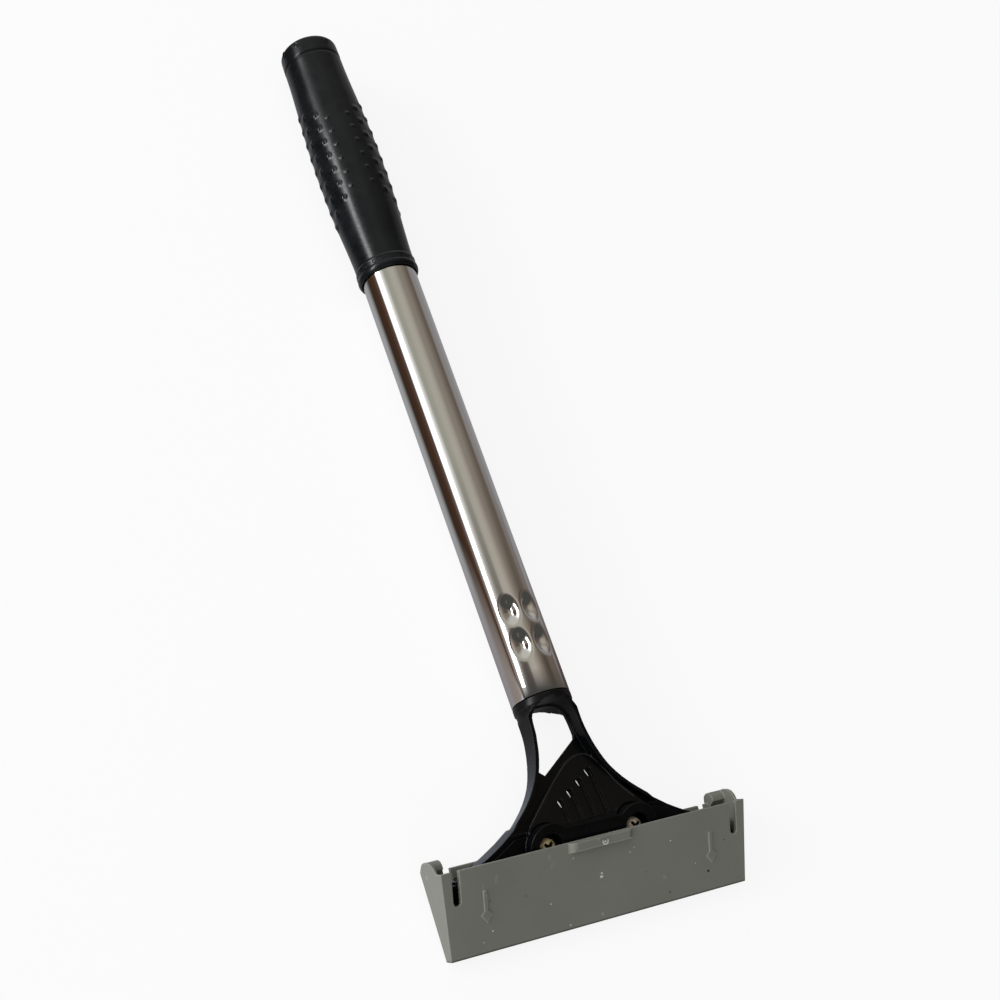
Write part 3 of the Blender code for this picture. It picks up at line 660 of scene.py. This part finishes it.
def make_grip(look):
    """Rubber sleeve with its nubs and rims, welded into one skin, and its small moulded marks."""
    bore_end = grip_length - grip_end_wall
    profile = [(bore_end, grip_pin_hole), (bore_end, grip_bore), (grip_bore_start, grip_bore)]
    profile += grip_outline()
    angles = [2 * pi * i / grip_sides for i in range(grip_sides)]
    bm = stacked(turned_handle([(tube_shown + place, radius) for place, radius in profile], angles))
    along = Vector((0, 1, 0))
    add_nubs(bm, along)
    skin = put("grip_skin", bm, look)
    remesh = skin.modifiers.new("remesh", "REMESH")
    remesh.mode = "VOXEL"
    remesh.voxel_size = grip_voxel
    smooth = skin.modifiers.new("smooth", "SMOOTH")
    smooth.factor = 0.5
    smooth.iterations = 2
    thin = skin.modifiers.new("thin", "DECIMATE")
    thin.ratio = grip_kept_share
    apply_steps(skin)
    skin.data.materials.clear()
    skin.data.materials.append(look)
    skin.data.shade_smooth()
    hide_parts("grip")
    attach(skin, "handle")
    marks = bmesh.new()
    turn, place = rim_ring
    for repeat in range(rim_repeats):
        seat, outward = grip_seat(radians(turn + rim_repeat_degrees * repeat), place, rim_radius)
        add_ring_mark(marks, seat, outward, along, *rim_ring_size)
    for repeat in range(rim_repeats):
        for turn, place in rim_dots:
            seat, outward = grip_seat(radians(turn + rim_repeat_degrees * repeat), place, rim_radius)
            around = Vector((outward.z, 0, -outward.x))
            add_dome(marks, seat, outward, around, *rim_dot_size, rows=2, sides=10)
    for turn, place in cap_marks:
        seat, outward = grip_seat(radians(turn), place, grip_cap_radius - cap_mark_sink)
        add_ring_mark(marks, seat, outward, along, *cap_ring_size)
        add_dome(marks, seat, outward, along, *cap_dot_size, rows=2, sides=10)
    rings = put("grip_marks", marks, look)
    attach(rings, "handle")


# Head details

arch_half_width = 5.6 * mm
arch_rise = 3.2 * mm
arch_spring = -4.1 * mm
arch_tool_low = -8.0 * mm
arch_tool_levels = (-13 * mm, -1.2 * mm)

panel_top = 19.0 * mm
panel_top_level = 0.3 * mm
panel_slope = 0.1343
panel_bead_radius = 0.17 * mm

# The panel's border and the grooves' upper ends, in millimetres from the tube's mouth on the
# handle's axis
panel_border = ((-19.6, -37.8), (-13.2, -32.0), (-6.8, -26.4), (-0.6, -21.5), (2.4, -19.9), (6.0, -19.0),
                (8.7, -19.8), (11.2, -23.4), (14.6, -31.2), (18.2, -36.6))
groove_tops = (-30.65, -28.05, -25.45, -22.85)
groove_pitch = 4.5 * mm
groove_radius = 0.92 * mm
groove_low = -38.05 * mm

# A groove lip's radius, as (place beyond the centre of the groove's upper end, radius)
groove_lip_rows = ((-2.8 * mm, 0.11 * mm), (-1.2 * mm, 0.20 * mm), (0.0, 0.24 * mm),
                   (groove_radius, 0.14 * mm))

# Painted highlight: a pale glint at each groove's upper end, as (x, y, x, y) in the same measure as
# the border, and its radius from end to end, in millimetres
groove_glints = ((-7.5, -31.9, -7.0, -34.0), (-3.2, -29.4, -2.8, -31.5), (1.1, -26.8, 1.5, -28.7),
               (5.3, -24.2, 5.8, -26.3))
groove_glint_radii = (0.08, 0.14, 0.16, 0.15, 0.13, 0.10, 0.06)


def arch_relief(look):
    """Tool that lets the window's arch run on through the back of the collar."""
    outline = [(arch_half_width * cos(pi * i / 24), arch_spring + arch_rise * sin(pi * i / 24))
               for i in range(25)]
    outline += [(-arch_half_width, arch_tool_low), (arch_half_width, arch_tool_low)]
    return put("arch_tool", stacked([[handle_point(x, y, z) for x, y in outline]
                                     for z in arch_tool_levels]), look)


def on_panel(x, y):
    """Returns the frame's point on the ramped panel."""
    return handle_point(x, y, panel_top_level + panel_slope * (-y - panel_top))


def bead(path, radii, sides=8):
    """Fine round bead along a path of points, thicker or thinner from place to place."""
    sections = []
    for i, point in enumerate(path):
        ahead = (path[min(i + 1, len(path) - 1)] - path[max(i - 1, 0)]).normalized()
        side = ahead.cross(Vector((0, 0, 1))).normalized()
        lift = side.cross(ahead)
        turns = [2 * pi * k / sides for k in range(sides)]
        sections.append([point + (side * cos(turn) + lift * sin(turn)) * radii[i] for turn in turns])
    return stacked(sections)


def border_path():
    """Smooth path along the panel's border."""
    across = [(i, x) for i, (x, _) in enumerate(panel_border)]
    along = [(i, y) for i, (_, y) in enumerate(panel_border)]
    steps = [i + k / 6 for i in range(len(panel_border) - 1) for k in range(6)]
    return [on_panel(read_smooth(across, step) * mm, read_smooth(along, step) * mm) for step in steps]


def groove_lip(number):
    """Lip along one side of a groove and round both its ends."""
    def round_end(centre, degrees):
        return [(x + groove_radius * cos(radians(turn)), centre + groove_radius * sin(radians(turn)))
                for turn in degrees]

    x = (number - 1.5) * groove_pitch
    high = groove_tops[number] * mm - groove_radius
    places = round_end(high, range(150, -1, -15))
    places += [(x + groove_radius, between(high, groove_low, i / 20)) for i in range(1, 20)]
    places += round_end(groove_low, range(0, -151, -15))
    rows = [(high + beyond, radius) for beyond, radius in groove_lip_rows]
    return bead([on_panel(px, py) for px, py in places], [read_table(rows, y) for _, y in places])


def groove_glint(number):
    """Short pale streak at a groove's upper end: a painted highlight."""
    x0, y0, x1, y1 = (value * mm for value in groove_glints[number])
    steps = len(groove_glint_radii) - 1
    path = [on_panel(between(x0, x1, i / steps), between(y0, y1, i / steps)) for i in range(steps + 1)]
    return bead(path, [value * mm for value in groove_glint_radii])


def add_head_details(look, bead_highlight_look, glint_look):
    """Bead round the ramped panel, a lip along one side of each groove, and painted glints at the upper
    ends.
    """
    path = border_path()
    border = bead(path, [panel_bead_radius] * len(path))
    # The bead takes a lighter plastic: a painted highlight round the panel
    ride(put("panel_bead", border, bead_highlight_look), "handle")
    for number in range(len(groove_tops)):
        word = str(number + 1)
        ride(put("groove_lip_" + word, groove_lip(number), look), "handle")
        ride(put("groove_glint_" + word, groove_glint(number), glint_look), "handle")


# Screws

screw_sides = 56
screw_head = 2.60 * mm
screw_head_foot = 2.62 * mm
thread_rings = 9
thread_root = 1.12 * mm
thread_crest = 1.35 * mm
thread_start = 0.45 * mm
thread_stop = 0.35 * mm
thread_below = 0.13 * mm
thread_above = 0.06 * mm

# The shank's tip, as (radius, level over the tip), and the head's dome, as (radius, share of the
# head's height); both radii, and the tip's levels, are in millimetres
screw_tip_rows = ((0.55, 0.0), (1.05, 0.0), (1.30, 0.25))
screw_dome_rows = ((2.76, 0.04), (2.80, 0.16), (2.78, 0.36), (2.66, 0.56), (2.42, 0.72), (2.02, 0.86),
                   (1.50, 0.95), (0.90, 0.99), (0.35, 1.0))

# The cross recess from its floor up, as (level over the head's top, half width of an arm, reach of
# an arm), in millimetres
cross_rows = ((-1.35, 0.24, 0.85), (-0.45, 0.44, 1.75), (0.5, 0.54, 2.15))
cross_turn = 0.12
cross_rim = 0.06 * mm


def screw_profile():
    """Profile of a screw from its tip to the top of its head, as (radius, level)."""
    profile = [(radius * mm, -screw_end + level * mm) for radius, level in screw_tip_rows]
    for i in range(thread_rings):
        level = between(-screw_end + thread_start, screw_seat - thread_stop, i / (thread_rings - 1))
        profile += [(thread_root, level - thread_below), (thread_crest, level + thread_above)]
    profile += [(thread_crest, screw_seat), (screw_head_foot, screw_seat)]
    profile += [(radius * mm, screw_seat + screw_head * lift) for radius, lift in screw_dome_rows]
    return profile


def cross_loops(side, centre):
    """Loops of the tool that cuts the cross recess, each a cross of four arms."""
    top = screw_seat + screw_head
    loops = []
    for level, half, reach in cross_rows:
        loop = []
        for quarter in range(4):
            turn = quarter * pi / 2 + pi / 4 + side * cross_turn
            for x, y in ((reach * mm, -half * mm), (reach * mm, half * mm), (half * mm, half * mm)):
                across = centre + x * cos(turn) - y * sin(turn)
                station = screw_station + x * sin(turn) + y * cos(turn)
                loop.append(blade_point(across, station, top + level * mm))
        loops.append(loop)
    return loops


def make_screw(side, word, metal, recess_dark):
    """Pan-head screw: domed head, tapered cross recess coloured near-black, and a threaded shank."""
    centre = side * screw_spacing / 2
    turns = [2 * pi * i / screw_sides for i in range(screw_sides)]
    sections = [[blade_point(centre + radius * cos(turn), screw_station + radius * sin(turn), level)
                 for turn in turns] for radius, level in screw_profile()]
    screw = put(word + "_cross_screw", stacked(sections), metal)
    cutter = put(word + "_cross_tool", stacked(cross_loops(side, centre)), recess_dark)
    cut(screw, cutter).material_mode = "TRANSFER"
    rim = screw.modifiers.new("rim", "BEVEL")
    rim.width = cross_rim
    rim.segments = 2
    rim.limit_method = "ANGLE"
    rim.angle_limit = radians(50)
    apply_steps(screw)
    bpy.data.objects.remove(cutter, do_unlink=True)
    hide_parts(word + "_screw")
    return ride(screw, word + "_clamp_screw")


# Guard details

# The finger lip's gate ring, at (across, station), round a dot
lip_ring_seat = (0.5 * mm, 8.45 * mm)
lip_ring_size = (0.85 * mm, 0.22 * mm, 0.14 * mm)
lip_dot_size = (0.34 * mm, 0.12 * mm)

# The stub of the gate: its corners as (across, station) in millimetres, and its layers as (lift,
# inset), an inset in millimetres across and as a share of the way to the middle station
stub_corners = ((-2.1, 7.02), (1.5, 7.02), (1.2, 7.75), (-1.8, 7.75))
stub_layers = ((-0.2 * mm, 0.0), (0.28 * mm, 0.0), (0.38 * mm, 0.14))
stub_middle = 7.38

# The thin raised line along the finger lip
lip_line_half = 9.9 * mm
lip_line_station = 9.30 * mm
lip_line_half_width = 0.14 * mm
lip_line_rise = 0.10 * mm

# Flecks on the guard's front wall: (across, station, radius), in millimetres
pale_flecks = ((-0.2, 17.5, 0.34), (-0.4, 18.4, 0.50), (-12.0, 30.0, 0.26), (-18.0, 22.5, 0.20),
               (-37.5, 25.6, 0.22), (11.5, 12.6, 0.16), (-9.5, 11.2, 0.18), (24.5, 13.4, 0.20),
               (-40.6, 28.2, 0.17), (33.0, 22.0, 0.15))
dark_flecks = ((37.5, 25.2, 0.42), (43.9, 17.2, 0.20), (-26.0, 18.3, 0.16), (15.0, 20.6, 0.15))
fleck_height = 0.05 * mm


def guard_seat(x, station, lift):
    """Returns a point over the guard's front wall and the wall's outward direction."""
    level = guard_front - guard_front_slope * (station - guard_start)
    outward = (blade_point(0, 0, 1) - blade_point(0, 0, 0)).normalized()
    return blade_point(x, station, level + lift), outward


def lip_stub_loops():
    """Loops of the low stub where the moulding's gate was cut off."""
    loops = []
    for lift, inset in stub_layers:
        loop = []
        for x, station in stub_corners:
            x = x - inset if x > 0 else x + inset
            place = between(station, stub_middle, inset) * mm
            loop.append(guard_seat(x * mm, place, lip_reach + lift)[0])
        loops.append(loop)
    return loops


def lip_line_loops():
    """Loops of the thin raised line along the finger lip."""
    loops = []
    for i in range(37):
        x = between(-lip_line_half, lip_line_half, i / 36)
        loop = []
        for k in range(8):
            angle = 2 * pi * k / 8
            station = lip_line_station + lip_line_half_width * cos(angle)
            loop.append(guard_seat(x, station, lip_reach + lip_line_rise * sin(angle))[0])
        loops.append(loop)
    return loops


def add_guard_details(look, edge_highlight_look):
    """Gate ring and its stub on the finger lip, a line along it, and flecks on the front wall."""
    along = Vector((1, 0, 0))
    pale_fleck_and_highlight = mottled_look("pale_fleck_and_highlight_look", (0.40, 0.41, 0.37), (0.62, 0.62, 0.58), (0.55, 0.56, 0.52), 0.6)
    dark = mottled_look("dark_fleck_look", (0.020, 0.020, 0.018), (0.050, 0.050, 0.044),
                        (0.03, 0.03, 0.027), 0.6)
    bm = bmesh.new()
    seat, outward = guard_seat(*lip_ring_seat, lip_reach)
    add_ring_mark(bm, seat, outward, along, *lip_ring_size, sides=28)
    add_dome(bm, seat, outward, along, *lip_dot_size, rows=3, sides=16)
    # The gate ring and its dot take the pale look as a painted highlight
    ride(put("lip_gate_ring", bm, pale_fleck_and_highlight), "guard")
    ride(put("lip_stub", stacked(lip_stub_loops()), look), "guard")
    # The line along the lip takes the lighter edge look: a painted highlight
    ride(put("lip_line", stacked(lip_line_loops()), edge_highlight_look), "guard")
    for name, tone, flecks in (("pale_flecks", pale_fleck_and_highlight, pale_flecks), ("dark_flecks", dark, dark_flecks)):
        bm = bmesh.new()
        for x, station, size in flecks:
            seat, outward = guard_seat(x * mm, station * mm, 0.0)
            add_dome(bm, seat, outward, along, size * mm, fleck_height, rows=2, sides=12)
        ride(put(name, bm, tone), "guard")


# Stage

# What polished surfaces show of the studio, by degrees from straight up towards +X: once for
# directions that look along the handle, and once for those that look across it
long_stops = (
    (-180, (0.10, 0.09, 0.09)), (-90, (0.09, 0.055, 0.042)), (-82.5, (0.10, 0.065, 0.055)),
    (-80.5, (1.25, 1.25, 1.24)), (-62, (1.25, 1.25, 1.24)), (-53, (0.74, 0.73, 0.70)),
    (-42, (0.36, 0.36, 0.31)), (-30, (0.36, 0.36, 0.31)), (-18, (0.43, 0.41, 0.35)),
    (-5, (0.44, 0.41, 0.36)), (5, (0.38, 0.35, 0.31)), (17, (0.27, 0.24, 0.205)),
    (30, (0.25, 0.225, 0.19)), (44, (0.19, 0.157, 0.13)), (60, (0.12, 0.10, 0.08)),
    (74, (0.27, 0.25, 0.24)), (92, (0.25, 0.245, 0.26)), (180, (0.16, 0.155, 0.17)))
cross_stops = (
    (-180, (0.10, 0.09, 0.09)), (-90, (0.24, 0.21, 0.19)), (-81.5, (0.30, 0.27, 0.245)),
    (-79, (1.25, 1.25, 1.22)), (-70, (1.25, 1.25, 1.22)), (-62, (0.46, 0.44, 0.41)),
    (-53, (0.150, 0.130, 0.118)), (-42, (0.100, 0.083, 0.075)), (-30, (0.125, 0.104, 0.092)),
    (-22, (0.42, 0.385, 0.345)), (-7, (0.46, 0.41, 0.365)), (5, (0.365, 0.32, 0.275)),
    (17, (0.255, 0.218, 0.180)), (30, (0.135, 0.110, 0.088)), (44, (0.075, 0.060, 0.043)),
    (60, (0.145, 0.116, 0.090)), (78, (0.145, 0.116, 0.096)), (180, (0.10, 0.09, 0.09)))
shaded_end = (0.064, 0.064, 0.060)
far_end = (0.55, 0.54, 0.50)

# Where one part of the studio gives way to the next, by how far a direction looks along +Y
open_to_shaded = (-0.75, -0.50)
shaded_to_studio = (-0.12, 0.20)
cross_to_long = (0.27, 0.40)
long_to_far = (0.62, 0.85)

# Soft light on everything else: its level straight above, how fast it falls towards +X, and how
# far it goes on falling
light_side = 0.60
light_slope = 0.90
light_last = 0.65

# Floor, and its glow for the camera by the distance from the middle
floor_half = 1.6
glow_distances = (0.35, 1.4)
glow_shares = (0.87, 1.0)

# Painted reflection: what polished surfaces show of the floor, which glows with these colours for
# reflected rays only, by the share of its middle strip from -X to +X: beside the tube, beside the
# tube's mouth and beside the head; and where these meet, along +Y
strip_half = 0.25
mouth_to_tube = (-0.075, -0.025)
head_to_mouth = (-0.112, -0.098)
tube_stops = ((0.0, (0.085, 0.050, 0.036)), (0.40, (0.056, 0.028, 0.016)), (0.446, (0.045, 0.027, 0.020)),
              (0.456, (0.17, 0.165, 0.16)), (0.470, (0.37, 0.375, 0.395)), (0.60, (0.30, 0.295, 0.31)),
              (1.0, (0.27, 0.265, 0.28)))
mouth_stops = ((0.0, (0.40, 0.35, 0.32)), (0.40, (0.29, 0.25, 0.225)), (0.45, (0.27, 0.24, 0.225)),
               (0.47, (0.31, 0.29, 0.31)), (0.51, (0.19, 0.185, 0.20)), (0.54, (0.085, 0.065, 0.06)),
               (1.0, (0.07, 0.055, 0.053)))
head_stops = ((0.0, (0.56, 0.60, 0.68)), (0.470, (0.56, 0.60, 0.68)), (0.492, (0.06, 0.06, 0.065)),
              (1.0, (0.06, 0.06, 0.065)))

# Lamp at the left: where it is, what it faces, its two sides and its power
lamp_place = (-0.90, 0.33, 0.34)
lamp_aim = (0, 0.02, 0)
lamp_size = (0.85, 0.20)
lamp_power = 5.1


def add_camera():
    """Camera at the photograph's viewing angle."""
    data = bpy.data.cameras.new("camera")
    data.lens = camera_lens
    data.sensor_width = 36
    made = bpy.data.objects.new("camera", data)
    scene.collection.objects.link(made)
    right = camera_right.normalized()
    up = -camera_down
    up = (up - right * up.dot(right)).normalized()
    back = right.cross(up)
    made.matrix_world = Matrix.Translation(camera_place) @ Matrix((right, up, back)).transposed().to_4x4()
    scene.camera = made


def add_lamp(name, place, aim, size, power):
    """Soft rectangular lamp that faces a point."""
    data = bpy.data.lights.new(name, "AREA")
    data.shape = "RECTANGLE"
    data.size, data.size_y = size
    data.energy = power
    made = bpy.data.objects.new(name, data)
    scene.collection.objects.link(made)
    made.location = place
    made.rotation_euler = (Vector(aim) - Vector(place)).to_track_quat("-Z", "Y").to_euler()


def add_floor():
    """Plain pale floor, a little under the part; for reflected rays it glows with painted reflection
    colours.
    """
    bm = bmesh.new()
    bmesh.ops.create_grid(bm, x_segments=1, y_segments=1, size=floor_half)
    shade = Shade("floor_look", (0.94, 0.94, 0.94), 0.9)
    floor = put("floor", bm, shade.made)
    path = shade.node("ShaderNodeLightPath")
    here = shade.place()
    distance = shade.node("ShaderNodeVectorMath", operation="LENGTH")
    shade.link(here, distance.inputs[0])
    bright = shade.remap(distance.outputs["Value"], *glow_distances, *glow_shares)
    lit = shade.math("MULTIPLY", path.outputs["Is Camera Ray"], bright)
    glow = shade.node("ShaderNodeEmission", Strength=1.0)
    seen = shade.mix_shaders(lit, shade.shader.outputs["BSDF"], glow.outputs["Emission"])
    parts = shade.node("ShaderNodeSeparateXYZ")
    shade.link(here, parts.inputs["Vector"])
    across = shade.remap(parts.outputs["X"], -strip_half, strip_half, 0.0, 1.0)
    up_tube = shade.remap(parts.outputs["Y"], *mouth_to_tube, 0.0, 1.0)
    up_mouth = shade.remap(parts.outputs["Y"], *head_to_mouth, 0.0, 1.0)
    beside_tube = shade.mix(up_tube, shade.ramp(across, mouth_stops), shade.ramp(across, tube_stops))
    # Painted reflection: the floor's glow for reflected rays, in bands beside the tube, its mouth and the
    # head
    painted_reflection = shade.node("ShaderNodeEmission", Strength=1.0)
    shade.link(shade.mix(up_mouth, shade.ramp(across, head_stops), beside_tube), painted_reflection.inputs["Color"])
    last = shade.mix_shaders(path.outputs["Is Glossy Ray"], seen, painted_reflection.outputs["Emission"])
    shade.link(last, shade.tree.nodes["Material Output"].inputs["Surface"])


def add_world():
    """White backdrop and soft light from the left; reflections show a studio with darker parts."""
    world = bpy.data.worlds.new("world")
    world.use_nodes = True
    nodes = Nodes(world.node_tree)
    background = world.node_tree.nodes["Background"]
    background.inputs["Strength"].default_value = 1.0
    coordinates = nodes.node("ShaderNodeTexCoord")
    parts = nodes.node("ShaderNodeSeparateXYZ")
    nodes.link(coordinates.outputs["Generated"], parts.inputs["Vector"])
    turn = nodes.math("ARCTAN2", parts.outputs["X"], parts.outputs["Z"])
    share = nodes.remap(turn, -pi, pi, 0.0, 1.0)

    def by_degrees(stops):
        return nodes.ramp(share, [((degrees + 180) / 360, color) for degrees, color in stops])

    def fade(span, first, second):
        """Goes from one colour to another over a span of the direction's part along +Y."""
        return nodes.mix(nodes.remap(parts.outputs["Y"], *span, 0.0, 1.0), first, second)

    studio = fade(cross_to_long, by_degrees(cross_stops), by_degrees(long_stops))
    studio = fade(open_to_shaded, studio, fade(shaded_to_studio, shaded_end, studio))
    studio = fade(long_to_far, studio, far_end)
    soft = nodes.remap(parts.outputs["X"], -1.0, light_last, light_side + light_slope,
                       light_side - light_last * light_slope)
    path = nodes.node("ShaderNodeLightPath")
    shiny = nodes.mix(path.outputs["Is Glossy Ray"], soft, studio)
    nodes.link(nodes.mix(path.outputs["Is Camera Ray"], shiny, (1.0, 1.0, 1.0)), background.inputs["Color"])
    scene.world = world


def dress_head():
    """Head and clamp plate, in black plastic."""
    plastic = black_plastic_look("black_plastic_look", (0.0009, 0.0012, 0.0016),
                                 (0.0022, 0.0026, 0.0031), 0.28)
    # Lighter plastic for the rounded edges and the groove lips: a painted highlight
    plastic_edge_highlight = black_plastic_look("black_plastic_edge_highlight_look", (0.004, 0.004, 0.0045),
                                      (0.010, 0.010, 0.011), 0.20)
    # Lighter still for the bead round the panel: a painted highlight along it
    bead_highlight_plastic = black_plastic_look("black_plastic_bead_highlight_look", (0.020, 0.020, 0.021),
                                      (0.036, 0.036, 0.038), 0.20)
    # Pale look for short streaks at the grooves' upper ends: a painted highlight
    glint_look = mottled_look("painted_glint_plastic_look", (0.50, 0.51, 0.52), (0.72, 0.73, 0.74),
                          (0.62, 0.63, 0.64), 0.35)
    head = moulded("head", "head_moulding", plastic, plastic_edge_highlight, head_edge_width,
                   relief=arch_relief(plastic))
    ride(head, "handle")
    add_head_details(plastic_edge_highlight, bead_highlight_plastic, glint_look)
    plate = moulded("clamp_plate", "clamp_moulding", plastic, plastic_edge_highlight, plate_edge_width)
    ride(plate, "clamp")


def dress_guard():
    """Blade guard, in grey plastic."""
    plastic = guard_look("grey_plastic_look", 1.0)
    # Lighter copy of the guard's plastic for its rounded edges and the lip line: a painted highlight
    edge = guard_look("grey_plastic_edge_highlight_look", 1.28)
    guard = moulded("blade_guard", "guard_moulding", plastic, edge, guard_edge_width)
    ride(guard, "guard")
    add_guard_details(plastic, edge)


def dress_metal():
    """Screws, nuts and blade."""
    golden = brass_look("left_screw_look", (0.95, 0.78, 0.44), (0.56, 0.42, 0.20), 900)
    pinkish = brass_look("right_screw_look", (0.93, 0.78, 0.60), (0.52, 0.40, 0.28), 900)
    nut_metal = brass_look("nut_look", (0.66, 0.46, 0.24), (0.28, 0.18, 0.09), 500)
    # Near-black look for the screws' cross recesses
    recess_dark = mottled_look("recess_dark_look", (0.006, 0.006, 0.006), (0.020, 0.017, 0.013),
                        (0.010, 0.009, 0.008), 0.7, scale=1500)
    make_screw(-1, "left", golden, recess_dark)
    make_screw(1, "right", pinkish, recess_dark)
    looks = {"left_nut": nut_metal, "right_nut": nut_metal, "blade": blade_look()}
    for node, look in looks.items():
        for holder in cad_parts[node].material_slots:
            holder.material = look


make_tube(steel_look())
make_grip(rubber_look())
dress_head()
dress_guard()
dress_metal()
add_camera()
add_floor()
add_world()
add_lamp("left_strip", lamp_place, lamp_aim, lamp_size, lamp_power)
scene.view_settings.view_transform = "Standard"
